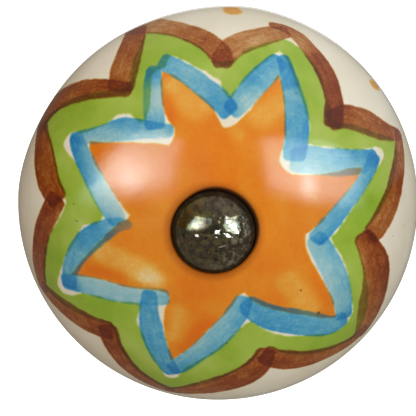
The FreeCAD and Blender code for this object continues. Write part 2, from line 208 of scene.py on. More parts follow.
def use(wires, group, inputs):
    """Places a shader group in another tree and returns its outputs."""
    made = wires.node("ShaderNodeGroup", node_tree=group)
    for label, value in inputs.items():
        wires.feed(made.inputs[label], value)
    return made.outputs


print("a screen's middle grey reflects", round(tint(128, 128, 128)[0], 3))

# %% [markdown]
# ## Studio
# The glaze shows two large soft boxes as pale windows, one left and one right of the camera, each with
# a hotter middle. Both stand just above the knob's own height. The room is dim on the left and
# brighter on the right and overhead, which is why the left limb of the knob is the darkest. A plain
# white floor lies below. The camera, and reflections, meet white behind the knob, and the floor still
# takes its shadow.

# %% Soft boxes
COOL_CLOTH = (0.77, 0.95, 1.0)
LEAN_PIVOT = 0.3


def soft_box(name, azimuth, elevation, distance, wide, tall, brightness,
             glows=(), slope=0.0, lean=0.0, fades=()):
    """A rectangular lamp aimed at the knob. Its size is given as the angles that it fills.
    Glows are where its cloth is brighter, as (across, up, wide, tall, how much), all parts of its size.
    Slope tips its lower and upper edges, and lean its left edge. Fades are where it starts and stops being
    dimmed at its left, right, lower and upper edge."""
    shape = bpy.data.lights.new(name, "AREA")
    shape.shape = "RECTANGLE"
    shape.size = 2 * distance * math.tan(math.radians(wide) / 2)
    shape.size_y = 2 * distance * math.tan(math.radians(tall) / 2)
    shape.energy = brightness * math.pi * shape.size * shape.size_y
    if glows:
        shape.color = COOL_CLOTH
        shape.use_nodes = True
        wires = Wiring(shape.node_tree)
        u, v, _ = wires.axes(wires.node("ShaderNodeNewGeometry").outputs["Parametric"])
        strength = 1.0
        for across, high, glow_wide, glow_tall, extra in glows:
            from_u = wires.calc("DIVIDE", wires.minus(u, across), glow_wide)
            from_v = wires.calc("DIVIDE", wires.minus(v, high), glow_tall)
            fall = wires.plus(wires.times(from_u, from_u), wires.times(from_v, from_v))
            glow = wires.calc("EXPONENT", wires.times(fall, -1.0))
            strength = wires.plus(wires.times(glow, extra), strength)
        level_v = wires.plus(v, wires.times(wires.minus(u, 0.5), slope))
        leaning_u = wires.minus(u, wires.times(wires.minus(v, LEAN_PIVOT), lean))
        edges = (leaning_u, wires.rest(u), level_v, wires.rest(level_v))
        for edge, (dark, full) in zip(edges, fades):
            strength = wires.times(strength, wires.ramp(edge, dark, full))
        cloth = wires.node("ShaderNodeEmission", {"Strength": strength})
        wires.node("ShaderNodeOutputLight", {0: cloth.outputs[0]})
    lamp = bpy.data.objects.new(name, shape)
    way = towards(math.radians(azimuth), math.radians(elevation))
    lamp.location = AIM + way * distance
    lamp.rotation_euler = way.to_track_quat("Z", "Y").to_euler()
    lamp.visible_camera = False
    bpy.context.scene.collection.objects.link(lamp)
    return lamp


# The two windows are only mirrored by the glaze. Plain fills, which aren't mirrored, light it. Each has
# its azimuth, elevation, distance in metres, width and height in degrees, and brightness.
for window in (soft_box("left_box", -37, 12, 0.40, 48, 32, 2.7, slope=-0.3, lean=0.44,
                        fades=((0.0, 0.24), (0.03, 0.22), (0.0, 0.44), (-0.06, 0.07)),
                        glows=((0.45, 0.46, 0.26, 0.28, 2.2), (0.49, 0.34, 0.09, 0.12, 1.5))),
               soft_box("right_box", 45, 11, 0.40, 54, 34, 2.9, slope=0.5,
                        fades=((0.0, 0.13), (0.0, 0.40), (0.0, 0.28), (0.14, 0.26)),
                        glows=((0.36, 0.42, 0.30, 0.34, 0.6), (0.38, 0.33, 0.055, 0.18, 2.6)))):
    window.visible_diffuse = False
for fill in (soft_box("front_fill", -18, 6, 0.45, 30, 30, 5.1),
             soft_box("right_fill", 54, -12, 0.40, 54, 34, 3.1),
             soft_box("top_fill", 10, 66, 0.50, 64, 50, 1.3),
             soft_box("rear_fill", 160, 40, 0.60, 50, 40, 1.2)):
    fill.visible_glossy = False

# %% Room and floor
ROOM_DIM, ROOM_OVERHEAD, ROOM_RIGHT = 0.16, 0.26, 0.26
PLAIN_LIGHT, WARM_LIGHT = (1.0, 0.97, 0.92), (1.0, 0.60, 0.26)
FLOOR_DROP, FLOOR_SIZE = 60 * MM, 8.0
FLOOR_GLOW, FLOOR_IN_MIRROR = 0.72, 0.08
# What the floor throws back: left of the knob, right of it, into a mirror, and to the camera.
LEFT_BOUNCE, RIGHT_BOUNCE, MIRROR_BOUNCE = (0.24, 0.16, 0.08), (0.58, 0.56, 0.52), (0.19, 0.18, 0.14)
FLOOR_WHITE = (0.86, 0.86, 0.85)


def rays(wires, share_in_mirror):
    """Which rays meet a thing: the camera's own, mirrored ones, and the camera's with a share of those."""
    ray = wires.node("ShaderNodeLightPath").outputs
    mirrored = wires.most(ray["Is Glossy Ray"], ray["Is Transmission Ray"])
    seen = wires.most(ray["Is Camera Ray"], wires.times(mirrored, share_in_mirror))
    return ray["Is Camera Ray"], mirrored, seen


room = bpy.data.worlds.new("studio_room")
bpy.context.scene.world = room
room.use_nodes = True
wires = Wiring(room.node_tree)
way = wires.node("ShaderNodeTexCoord").outputs["Generated"]
side, depth, height = wires.node("ShaderNodeSeparateXYZ", {0: way}).outputs
overhead = wires.ramp(height, 0.0, 0.9, 0.0, ROOM_OVERHEAD)
brighter_right = wires.ramp(side, 0.0, 1.0, 0.0, ROOM_RIGHT)
level = wires.plus(wires.plus(overhead, brighter_right), ROOM_DIM)
shade = wires.blend(wires.ramp(side, -1.0, 0.0, 1.0, 0.0), PLAIN_LIGHT, WARM_LIGHT)
walls = wires.node("ShaderNodeBackground", {"Color": shade, "Strength": level})
white = wires.node("ShaderNodeBackground", {"Color": (1.0, 1.0, 1.0), "Strength": 1.0})
behind_knob = wires.ramp(depth, 0.97, 0.999)
_, _, seen = rays(wires, behind_knob)
choice = wires.node("ShaderNodeMixShader", {0: seen, 1: walls.outputs[0], 2: white.outputs[0]})
wires.node("ShaderNodeOutputWorld", {0: choice.outputs[0]})

floor_mesh = bpy.data.meshes.new("studio_floor")
edge = FLOOR_SIZE / 2
floor_mesh.from_pydata([(-edge, -edge, -FLOOR_DROP), (edge, -edge, -FLOOR_DROP),
                        (edge, edge, -FLOOR_DROP), (-edge, edge, -FLOOR_DROP)], [], [(0, 1, 2, 3)])
floor = bpy.data.objects.new("studio_floor", floor_mesh)
bpy.context.scene.collection.objects.link(floor)
floor_paint = bpy.data.materials.new("floor_paint")
floor_paint.use_nodes = True
wires = Wiring(floor_paint.node_tree)
plainly, mirrored, seen = rays(wires, FLOOR_IN_MIRROR)
across = wires.axes(wires.node("ShaderNodeTexCoord").outputs["Object"])[0]
bounce = wires.blend(wires.ramp(across, -0.12, 0.05), LEFT_BOUNCE, RIGHT_BOUNCE)
bounce = wires.blend(mirrored, bounce, MIRROR_BOUNCE)
paint = wires.blend(plainly, bounce, FLOOR_WHITE)
matt = wires.node("ShaderNodeBsdfDiffuse", {"Color": paint})
glow = wires.node("ShaderNodeEmission", {"Strength": wires.times(seen, FLOOR_GLOW)})
both = wires.node("ShaderNodeAddShader", {0: matt.outputs[0], 1: glow.outputs[0]})
wires.node("ShaderNodeOutputMaterial", {0: both.outputs[0]})
floor_mesh.materials.append(floor_paint)
print(f"floor {FLOOR_DROP / MM:.0f} mm below the axis")

# %% [markdown]
# ## Turned pieces
# The ceramic, the bolt's head, the collar, the washer and even the nut are all turned about one axis,
# so one rule makes them: an outline is carried round the axis. Geometry Nodes can do it with a grid.
# Each column of the grid is a copy of the outline at its own angle. The rule also takes a slight
# dent on one side, since soft clay was handled before it dried, and the width across the flats, which
# cuts the nut's hexagon out of its turned blank.

# %% Outlines
def bow(centre, radius, start, end):
    """A dense arc, from one angle to another in degrees. Its points are (radius, distance from the door)."""
    angles = np.radians(np.linspace(start, end, 240))
    return np.stack([centre[0] + radius * np.cos(angles), centre[1] + radius * np.sin(angles)], 1)


def straight(*corners):
    """A straight run between two points."""
    return np.array(corners, float)


def lengths_along(points):
    steps = np.hypot(*np.diff(points, axis=0).T)
    return np.concatenate([[0.0], np.cumsum(steps)])


def points_at(points, distances):
    """The points of a line at these distances along it."""
    along = lengths_along(points)
    return np.stack([np.interp(distances, along, points[:, axis]) for axis in (0, 1)], 1)


def eased_outline(runs, eases, steps, corner_points=6):
    """Joins runs end to end. An ease rounds the corner there: negative for a hollow one, which has no wear."""
    points, wear = [], []
    for index, (run, step) in enumerate(zip(runs, steps)):
        total = lengths_along(run)[-1]
        first = abs(eases[index - 1]) if index else 0.0
        last = abs(eases[index]) if index < len(eases) else 0.0
        room_left = total - first - last
        inner = np.linspace(0, room_left, max(2, round(room_left / step) + 1))
        support = [d for d in (0.06, room_left - 0.06) if 0.12 < room_left]
        inner = np.unique(np.concatenate([inner, support]))
        kept = points_at(run, first + inner)
        points.extend(kept[1:] if index and first == 0.0 else kept)
        wear.extend([0.0] * (len(points) - len(wear)))
        if last:
            before, corner = points_at(run, [total - last])[0], run[-1]
            after = points_at(runs[index + 1], [last])[0]
            for t in np.linspace(0, 1, corner_points + 2)[1:-1]:
                points.append((1 - t) ** 2 * before + 2 * t * (1 - t) * corner + t**2 * after)
                wear.append(math.sin(math.pi * t) if eases[index] > 0 else 0.0)
    return np.array(points), np.array(wear)


print("arc check:", np.round(bow((0, 0), 2.0, 0, 90)[-1], 3))

# %% The turning rule, in Geometry Nodes
def sampled(wires, outline, field, index, kind="FLOAT"):
    """What a point of the outline holds, read by its number."""
    made = wires.node("GeometryNodeSampleIndex", data_type=kind, domain="POINT")
    wires.feed(made.inputs["Geometry"], outline)
    wires.feed(made.inputs["Value"], field)
    wires.feed(made.inputs["Index"], index)
    return made.outputs[0]


def new_tree(name, inputs):
    """An empty Geometry Nodes tree with named inputs, a piece in and a piece out."""
    tree = bpy.data.node_groups.new(name, "GeometryNodeTree")
    tree.interface.new_socket(name="Geometry", in_out="INPUT", socket_type="NodeSocketGeometry")
    for label, kind in inputs.items():
        tree.interface.new_socket(name=label, in_out="INPUT", socket_type="NodeSocket" + kind)
    tree.interface.new_socket(name="Geometry", in_out="OUTPUT", socket_type="NodeSocketGeometry")
    wires = Wiring(tree)
    return tree, wires, wires.node("NodeGroupInput").outputs, wires.node("NodeGroupOutput").inputs


def numbered_grid(wires, columns, rows):
    """A flat grid, and each point's column and row, counted from 0."""
    across, along = wires.minus(columns, 1.0), wires.minus(rows, 1.0)
    grid = wires.node("GeometryNodeMeshGrid", {"Size X": across, "Size Y": along,
                                               "Vertices X": columns, "Vertices Y": rows})
    place = wires.node("GeometryNodeInputPosition").outputs[0]
    x, y, _ = wires.axes(place)
    column = wires.calc("ROUND", wires.plus(x, wires.times(across, 0.5)))
    row = wires.calc("ROUND", wires.plus(y, wires.times(along, 0.5)))
    return grid.outputs["Mesh"], column, row, place


def finish_tree(wires, shape, material, leave):
    """Closes the seams, smooths the faces and sets the material."""
    merged = wires.node("GeometryNodeMergeByDistance", {"Geometry": shape, "Distance": 0.0005 * MM})
    smooth = wires.node("GeometryNodeSetShadeSmooth", {"Geometry": merged.outputs[0], "Shade Smooth": True},
                        domain="FACE")
    angle = wires.node("GeometryNodeInputMeshEdgeAngle").outputs[0]
    crease = wires.calc("GREATER_THAN", angle, math.radians(38))
    creased = wires.node("GeometryNodeSetShadeSmooth", {"Geometry": smooth.outputs[0], "Selection": crease,
                                                        "Shade Smooth": False}, domain="EDGE")
    real = wires.node("GeometryNodeRealizeInstances", {"Geometry": creased.outputs[0]})
    dressed = wires.node("GeometryNodeSetMaterial", {"Geometry": real.outputs[0], "Material": material})
    wires.feed(leave["Geometry"], dressed.outputs[0])


turning, wires, entry, leave = new_tree("turned_piece", {
    "Spokes": "Int", "Closed": "Int", "Flats": "Float", "Dent": "Float", "Dent Turn": "Float",
    "Full Radius": "Float", "Material": "Material"})
outline = entry["Geometry"]
count = wires.node("GeometryNodeAttributeDomainSize", {"Geometry": outline}, component="MESH").outputs[0]
columns = wires.plus(entry["Spokes"], 1.0)
rows = wires.plus(count, entry["Closed"])
grid, column, row, place = numbered_grid(wires, columns, rows)
number = wires.calc("MODULO", row, count)
angle = wires.times(wires.calc("DIVIDE", column, entry["Spokes"]), math.tau)
radius, distance, _ = wires.node("ShaderNodeSeparateXYZ", {
    0: sampled(wires, outline, place, number, "FLOAT_VECTOR")}).outputs
sixth, half_sixth = math.tau / 6, math.tau / 12
turned_by = wires.minus(wires.calc("MODULO", wires.plus(angle, half_sixth), sixth), half_sixth)
flat_radius = wires.calc("DIVIDE", wires.times(entry["Flats"], 0.5), wires.calc("COSINE", turned_by))
radius = wires.calc("MINIMUM", radius, flat_radius)
facing = wires.calc("COSINE", wires.minus(angle, entry["Dent Turn"]))
outwards = wires.calc("POWER", wires.calc("DIVIDE", radius, entry["Full Radius"]), 2.0)
dent = wires.times(wires.ramp(facing, math.cos(math.radians(50)), 1.0), entry["Dent"])
radius = wires.times(radius, wires.rest(wires.times(dent, outwards)))
to_side = wires.times(radius, wires.calc("SINE", angle))
to_top = wires.times(radius, wires.calc("COSINE", angle))
spot = wires.node("ShaderNodeCombineXYZ", {0: to_side, 1: distance, 2: to_top}).outputs[0]
shape = grid
for label in ("along", "wear"):
    held = wires.node("GeometryNodeInputNamedAttribute", {"Name": label}, data_type="FLOAT").outputs[0]
    value = sampled(wires, outline, held, number)
    shape = wires.node("GeometryNodeStoreNamedAttribute", {"Geometry": shape, "Name": label, "Value": value},
                       data_type="FLOAT", domain="POINT").outputs[0]
moved = wires.node("GeometryNodeSetPosition", {"Geometry": shape, "Position": spot}).outputs[0]
finish_tree(wires, moved, entry["Material"], leave)
print("turned_piece has", len(turning.nodes), "nodes")

# %% Run a tree and keep the plain mesh
def plain_mesh(name, source, tree, settings):
    """Runs a Geometry Nodes tree on a source mesh and returns the result as a plain mesh."""
    carrier = bpy.data.objects.new(name + "_source", source)
    bpy.context.scene.collection.objects.link(carrier)
    modifier = carrier.modifiers.new(tree.name, "NODES")
    modifier.node_group = tree
    for item in tree.interface.items_tree:
        if item.item_type == "SOCKET" and item.in_out == "INPUT" and item.name in settings:
            modifier[item.identifier] = settings[item.name]
    graph = bpy.context.evaluated_depsgraph_get()
    made = bpy.data.meshes.new_from_object(carrier.evaluated_get(graph))
    made.name = name
    carrier.modifiers.remove(modifier)
    bpy.data.objects.remove(carrier)
    return made


def volume_of(mesh):
    """The closed volume in cubic mm. It is negative where the faces point inwards."""
    mesh.calc_loop_triangles()
    spots = np.empty(len(mesh.vertices) * 3)
    mesh.vertices.foreach_get("co", spots)
    corners = np.empty(len(mesh.loop_triangles) * 3, int)
    mesh.loop_triangles.foreach_get("vertices", corners)
    a, b, c = (spots.reshape(-1, 3)[corners.reshape(-1, 3)[:, k]] for k in range(3))
    return float(np.einsum("ij,ij->i", a, np.cross(b, c)).sum() / 6 / MM**3)


def turned(name, points, wear, material, spokes=96, closed=True, flats=1.0, dent=(0.0, 0.0), along=None):
    """Turns an outline, given in mm as (radius, distance from the door), into a piece. A dent is how far
    one side is pressed in, as a part of the widest radius, and which way that side faces."""
    outline = bpy.data.meshes.new(name + "_outline")
    links = [(k, k + 1) for k in range(len(points) - 1)]
    outline.from_pydata([(r * MM, -s * MM, 0) for r, s in points], links, [])
    for label, values in (("along", lengths_along(points) if along is None else along), ("wear", wear)):
        outline.attributes.new(label, "FLOAT", "POINT").data.foreach_set("value", np.array(values, np.float32))
    return plain_mesh(name, outline, turning, {
        "Spokes": spokes, "Closed": int(closed), "Flats": flats, "Dent": dent[0], "Dent Turn": dent[1],
        "Full Radius": float(np.max(points[:, 0])) * MM, "Material": material})


def place_piece(name, mesh, node):
    """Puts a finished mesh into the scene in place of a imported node."""
    if volume_of(mesh) < 0:
        mesh.flip_normals()
    piece = bpy.data.objects.new(name, mesh)
    bpy.context.scene.collection.objects.link(piece)
    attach(piece, "root")
    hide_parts(node)
    print(f"{name}: {len(mesh.loop_triangles)} triangles, {volume_of(mesh):.0f} cubic mm")
    return piece


painted_glaze = bpy.data.materials.new("painted_glaze")
antique_brass = bpy.data.materials.new("antique_brass")
plated_steel = bpy.data.materials.new("plated_steel")

# %% [markdown]
# ## Ceramic body
# The body was thrown or pressed, then glazed. Its crown is shallow and turns over a full shoulder to
# the widest ring, a rounded belly runs in below, and a hollow neck meets the foot. The arcs are those
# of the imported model. The foot and the bore were wiped clean before firing, so they stay bare. Close
# rings on the crown are needed later, because the painting is measured at the mesh's points.

# %% Turn the ceramic
SEAT_RADIUS, SEAT_FLOOR = 4.05, 32.2
BORE_RADIUS, FOOT_RADIUS, FOOT_LEVEL, FOOT_TOP = 2.75, 8.2, 6.0, 6.8
CROWN_CENTRE, CROWN_RADIUS = (0.0, 5.0), 28.0
SHOULDER_CENTRE, SHOULDER_RADIUS = (8.25, 19.0), 11.75
BELLY_CENTRE, BELLY_RADIUS = (11.0, 19.0), 9.0
NECK_CENTRE, NECK_RADIUS = (13.27, 4.68), 5.5


def direction(centre, point):
    return math.degrees(math.atan2(point[1] - centre[1], point[0] - centre[0]))


lip_angle = math.degrees(math.acos(SEAT_RADIUS / CROWN_RADIUS))
crown_ends = direction(CROWN_CENTRE, SHOULDER_CENTRE)
belly_ends = direction(BELLY_CENTRE, NECK_CENTRE)
neck_starts = belly_ends + 180
foot_edge = (FOOT_RADIUS, FOOT_TOP)
neck_ends = direction(NECK_CENTRE, foot_edge) % 360
neck_foot = bow(NECK_CENTRE, NECK_RADIUS, neck_starts, neck_ends)
lip = bow(CROWN_CENTRE, CROWN_RADIUS, lip_angle, crown_ends)[0]
bore_middle = (SEAT_FLOOR + FOOT_LEVEL) / 2

runs = [
    straight((BORE_RADIUS, bore_middle), (BORE_RADIUS, SEAT_FLOOR)),
    straight((BORE_RADIUS, SEAT_FLOOR), (SEAT_RADIUS, SEAT_FLOOR)),
    straight((SEAT_RADIUS, SEAT_FLOOR), lip),
    bow(CROWN_CENTRE, CROWN_RADIUS, lip_angle, crown_ends),
    bow(SHOULDER_CENTRE, SHOULDER_RADIUS, crown_ends, 0),
    bow(BELLY_CENTRE, BELLY_RADIUS, 0, belly_ends),
    neck_foot,
    straight(neck_foot[-1], (FOOT_RADIUS, FOOT_LEVEL)),
    straight((FOOT_RADIUS, FOOT_LEVEL), (BORE_RADIUS, FOOT_LEVEL)),
    straight((BORE_RADIUS, FOOT_LEVEL), (BORE_RADIUS, bore_middle - 0.4)),
]
eases = [0.3, -0.08, 0.3, 0, 0, 0, -0.25, 0.3, 0.35]
steps = [4.0, 0.8, 0.2, 0.2, 0.2, 0.8, 0.6, 0.4, 1.2, 4.0]
ceramic_outline, ceramic_wear = eased_outline(runs, eases, steps)
from_bore = lengths_along(ceramic_outline)
nearest_lip = np.argmin(np.hypot(*(ceramic_outline - lip).T))
along_crown = from_bore - from_bore[nearest_lip] + CROWN_RADIUS * math.asin(SEAT_RADIUS / CROWN_RADIUS)
ceramic = turned("painted_knob", ceramic_outline, ceramic_wear, painted_glaze, spokes=456,
                 dent=(0.026, math.radians(-38)), along=along_crown)
print(f"{len(ceramic_outline)} rings, {len(ceramic.vertices)} points")

# %% [markdown]
# ## The painting
# The flower has seven petals, painted freehand: an orange star, a ring of blue strokes round it, green
# petals outside that, and a ring of brown strokes. Each petal takes two strokes of each ring, and the
# strokes overlap where they meet, so every notch and tip shows a darker joint. The painting is set down
# here as a painter would describe it: the run of each stroke, and at each stop how wide the flat brush
# lay and how much paint it left. Most strokes are darker on one side, where the paint ran to.
#
# Places are on a chart of the crown laid flat: (to the right, up) in mm, measured over the glaze from
# the axis. A point's chart place follows from its angle and its distance along the outline.

# %% Brush strokes, clockwise from the notch before the eleven o'clock petal
# Each stop is (right, up, half the width, paint), and each stroke ends with how much it leans outwards.
BLUE_STROKES = [
    ([(-5.8, 9.9, 1.0, 1.0), (-6.15, 12.0, 1.05, 0.45), (-6.3, 14.0, 1.0, 0.45), (-6.4, 15.3, 0.85, 1.2),
      (-6.4, 16.4, 0.7, 0.9)], 0.2),
    ([(-5.8, 17.1, 0.9, 0.9), (-3.0, 15.6, 1.0, 0.65), (-1.0, 14.1, 1.05, 0.75), (0.5, 12.9, 1.1, 1.0),
      (1.7, 11.5, 1.0, 1.1)], 0.0),
    ([(1.5, 11.6, 1.0, 0.9), (2.9, 13.1, 1.15, 0.5), (4.3, 14.7, 1.25, 0.9), (5.8, 16.2, 1.2, 0.85),
      (7.0, 17.5, 0.95, 1.0)], 0.4),
    ([(7.1, 17.9, 0.7, 1.1), (7.5, 16.0, 0.8, 1.3), (7.8, 14.4, 0.95, 1.2), (7.95, 13.8, 1.0, 0.75),
      (8.25, 11.8, 1.2, 0.9), (8.25, 9.4, 1.25, 1.0), (8.0, 7.8, 1.15, 0.9), (7.9, 6.8, 1.1, 0.8)], 0.2),
    ([(7.5, 7.0, 1.15, 0.45), (9.5, 6.85, 1.38, 0.45), (10.7, 6.7, 1.35, 0.5), (12.9, 6.5, 1.37, 0.7),
      (15.3, 6.5, 1.2, 0.8), (17.2, 6.9, 0.8, 1.1)], 0.35),
    ([(17.0, 7.2, 0.85, 1.2), (15.9, 5.3, 0.75, 0.8), (14.6, 3.7, 0.75, 0.75), (13.1, 2.1, 0.85, 0.8),
      (11.7, 0.6, 0.95, 0.9), (10.3, -0.8, 0.95, 0.85), (9.9, -1.3, 0.9, 0.85)], 0.3),
    ([(9.9, -0.6, 0.95, 0.6), (10.9, -2.5, 1.2, 0.55), (12.0, -4.6, 1.25, 0.5), (12.7, -6.4, 1.2, 0.55),
      (13.2, -8.2, 1.05, 0.6), (13.6, -10.4, 0.85, 1.0)], 0.35),
    ([(13.8, -10.2, 0.9, 1.0), (12.0, -10.9, 1.2, 0.85), (10.0, -10.4, 1.4, 0.9), (8.0, -9.8, 1.45, 1.0),
      (6.0, -9.2, 1.4, 1.05), (4.3, -8.3, 1.25, 1.0), (3.0, -7.1, 0.9, 0.9)], 0.15),
    ([(3.1, -6.6, 0.85, 0.9), (2.4, -8.2, 1.1, 0.8), (1.2, -10.1, 1.2, 0.65), (-0.2, -11.8, 1.2, 0.65),
      (-1.8, -13.4, 1.05, 0.65), (-3.4, -14.9, 1.0, 0.85), (-4.7, -16.0, 0.85, 1.1)], 0.3),
    ([(-4.3, -16.5, 0.9, 1.1), (-5.3, -14.4, 1.05, 0.9), (-6.0, -12.4, 1.15, 1.0), (-6.35, -10.5, 1.2, 0.95),
      (-6.5, -8.8, 1.0, 1.0), (-6.4, -7.2, 0.85, 0.9), (-6.35, -6.2, 0.75, 0.9)], 0.1),
    ([(-4.4, -6.8, 0.8, 0.6), (-6.0, -6.85, 0.95, 0.4), (-8.5, -6.9, 1.0, 0.42), (-11.0, -6.7, 1.1, 0.42),
      (-13.5, -6.4, 1.05, 0.5), (-14.6, -6.5, 0.95, 0.9), (-16.2, -6.6, 0.85, 1.1)], 0.3),
    ([(-15.3, -7.3, 0.9, 1.1), (-14.9, -4.9, 0.95, 0.8), (-13.9, -3.0, 1.15, 0.85), (-12.6, -1.5, 1.25, 1.0),
      (-11.2, -0.5, 1.1, 1.0), (-9.6, 0.3, 0.75, 0.6), (-8.0, 0.45, 0.4, 0.3)], 0.15),
    ([(-9.3, 0.5, 0.9, 0.6), (-10.6, 2.5, 1.15, 0.35), (-11.7, 4.1, 1.15, 0.4), (-12.0, 4.6, 1.1, 0.75),
      (-13.0, 6.2, 1.05, 0.8), (-14.0, 7.8, 0.95, 1.1), (-14.7, 9.1, 0.8, 1.2)], 0.55),
    ([(-15.2, 8.6, 0.6, 0.9), (-13.2, 8.9, 0.75, 0.55), (-11.2, 9.3, 0.95, 0.6), (-9.2, 9.8, 1.15, 0.75),
      (-7.0, 9.85, 0.95, 0.7), (-5.4, 9.8, 0.75, 0.6), (-4.0, 9.75, 0.65, 0.6)], 0.45),
]
BROWN_STROKES = [
    ([(-9.9, 13.7, 1.45, 1.0), (-9.8, 16.0, 1.65, 0.75), (-9.6, 18.5, 1.6, 0.85), (-9.6, 20.5, 1.4, 1.0),
      (-9.6, 21.9, 1.2, 0.9)], 0.1),
    ([(-11.6, 21.1, 0.5, 0.6), (-9.8, 21.6, 0.9, 0.6), (-8.0, 21.7, 1.0, 0.5), (-6.0, 21.5, 1.1, 0.55),
      (-4.0, 20.9, 1.1, 0.65), (-2.0, 20.0, 1.15, 0.8), (-0.5, 19.0, 1.15, 0.8), (0.5, 17.8, 1.2, 0.8),
      (1.0, 16.4, 1.0, 0.65)], -0.1),
    ([(0.4, 16.6, 1.1, 0.7), (1.6, 18.4, 1.3, 0.6), (3.0, 19.4, 1.35, 0.5), (4.8, 20.2, 1.3, 0.5),
      (6.5, 20.9, 1.2, 0.55), (8.5, 21.6, 0.9, 0.7)], 0.1),
    ([(6.2, 22.6, 0.5, 0.8), (8.2, 22.0, 0.8, 0.8), (9.6, 20.9, 1.0, 0.6), (10.6, 19.1, 1.1, 0.7),
      (11.1, 18.2, 1.15, 1.1), (11.7, 17.0, 1.15, 1.15), (12.3, 15.0, 1.15, 1.15), (12.5, 13.0, 1.05, 1.2),
      (12.3, 11.3, 1.1, 1.3), (12.0, 10.1, 0.95, 1.2)], 0.1),
    ([(11.6, 10.7, 1.0, 1.0), (13.5, 11.2, 1.2, 1.0), (15.0, 11.0, 1.35, 0.85), (16.5, 10.6, 1.4, 0.8),
      (18.0, 10.0, 1.3, 0.85), (19.5, 9.6, 1.05, 0.9), (21.0, 9.4, 0.85, 0.9), (22.5, 9.2, 0.7, 0.7)], 0.15),
    ([(22.1, 9.9, 0.8, 0.7), (21.5, 7.8, 1.0, 0.8), (20.8, 6.0, 1.15, 0.9), (20.0, 4.2, 1.25, 1.0),
      (19.2, 2.5, 1.3, 0.85), (18.2, 1.0, 1.35, 0.8), (17.0, -0.5, 1.3, 0.8), (15.9, -1.4, 1.1, 0.9)], 0.0),
    ([(15.0, -0.9, 0.95, 1.2), (16.2, -3.0, 1.4, 1.0), (17.1, -5.0, 1.75, 1.05), (17.3, -7.0, 1.9, 1.0),
      (17.2, -9.0, 2.0, 0.85), (17.1, -11.0, 1.85, 0.8), (16.8, -13.0, 1.4, 0.8), (16.3, -14.5, 1.0, 0.8)], 0.45),
    ([(17.3, -13.1, 0.7, 0.9), (15.5, -14.4, 0.85, 0.8), (13.5, -14.9, 0.95, 0.8), (11.5, -15.1, 1.15, 0.8),
      (9.5, -15.1, 1.3, 0.95), (7.7, -14.8, 1.35, 1.0), (6.2, -14.3, 1.25, 1.0), (4.9, -13.4, 1.1, 1.1)], 0.1),
    ([(5.4, -12.9, 0.95, 1.1), (4.6, -15.0, 1.3, 1.1), (3.4, -16.4, 1.5, 1.0), (1.8, -17.5, 1.5, 1.1),
      (0.0, -18.3, 1.45, 1.0), (-1.8, -19.1, 1.25, 0.85), (-3.6, -19.9, 1.0, 0.9), (-5.6, -20.5, 0.8, 0.9)], 0.1),
    ([(-4.9, -20.6, 0.9, 0.9), (-7.6, -18.9, 1.1, 1.0), (-9.5, -16.6, 1.15, 1.0), (-10.7, -13.8, 1.15, 1.1),
      (-11.2, -10.9, 1.1, 1.1)], 0.0),
    ([(-10.5, -11.6, 1.15, 1.1), (-12.5, -11.4, 1.25, 1.0), (-14.2, -11.0, 1.35, 0.9), (-16.0, -10.4, 1.35, 0.85),
      (-17.8, -9.7, 1.2, 0.85), (-20.2, -8.7, 1.0, 0.9)], 0.1),
    ([(-20.1, -9.4, 1.0, 0.9), (-19.9, -6.0, 1.2, 1.0), (-19.4, -4.0, 1.2, 1.1), (-18.9, -2.2, 1.2, 1.2),
      (-18.2, -0.6, 1.2, 1.1), (-17.4, 0.8, 1.2, 1.1), (-16.3, 2.6, 1.1, 1.1)], 0.1),
    ([(-16.1, 2.0, 1.2, 1.2), (-17.6, 3.7, 1.6, 1.0), (-18.5, 5.4, 1.75, 1.0), (-19.2, 7.0, 1.7, 1.0),
      (-19.9, 8.4, 1.4, 1.1), (-20.8, 10.2, 1.1, 1.1)], 0.15),
    ([(-21.0, 9.2, 0.9, 1.0), (-20.0, 11.1, 1.0, 1.1), (-18.6, 12.5, 1.15, 1.1), (-17.0, 13.3, 1.25, 1.0),
      (-15.0, 13.8, 1.25, 1.0), (-13.0, 14.0, 1.1, 1.0), (-11.0, 14.0, 0.95, 1.1), (-8.6, 13.9, 0.7, 1.0)], 0.1),
]
print(len(BLUE_STROKES), "blue and", len(BROWN_STROKES), "brown strokes")

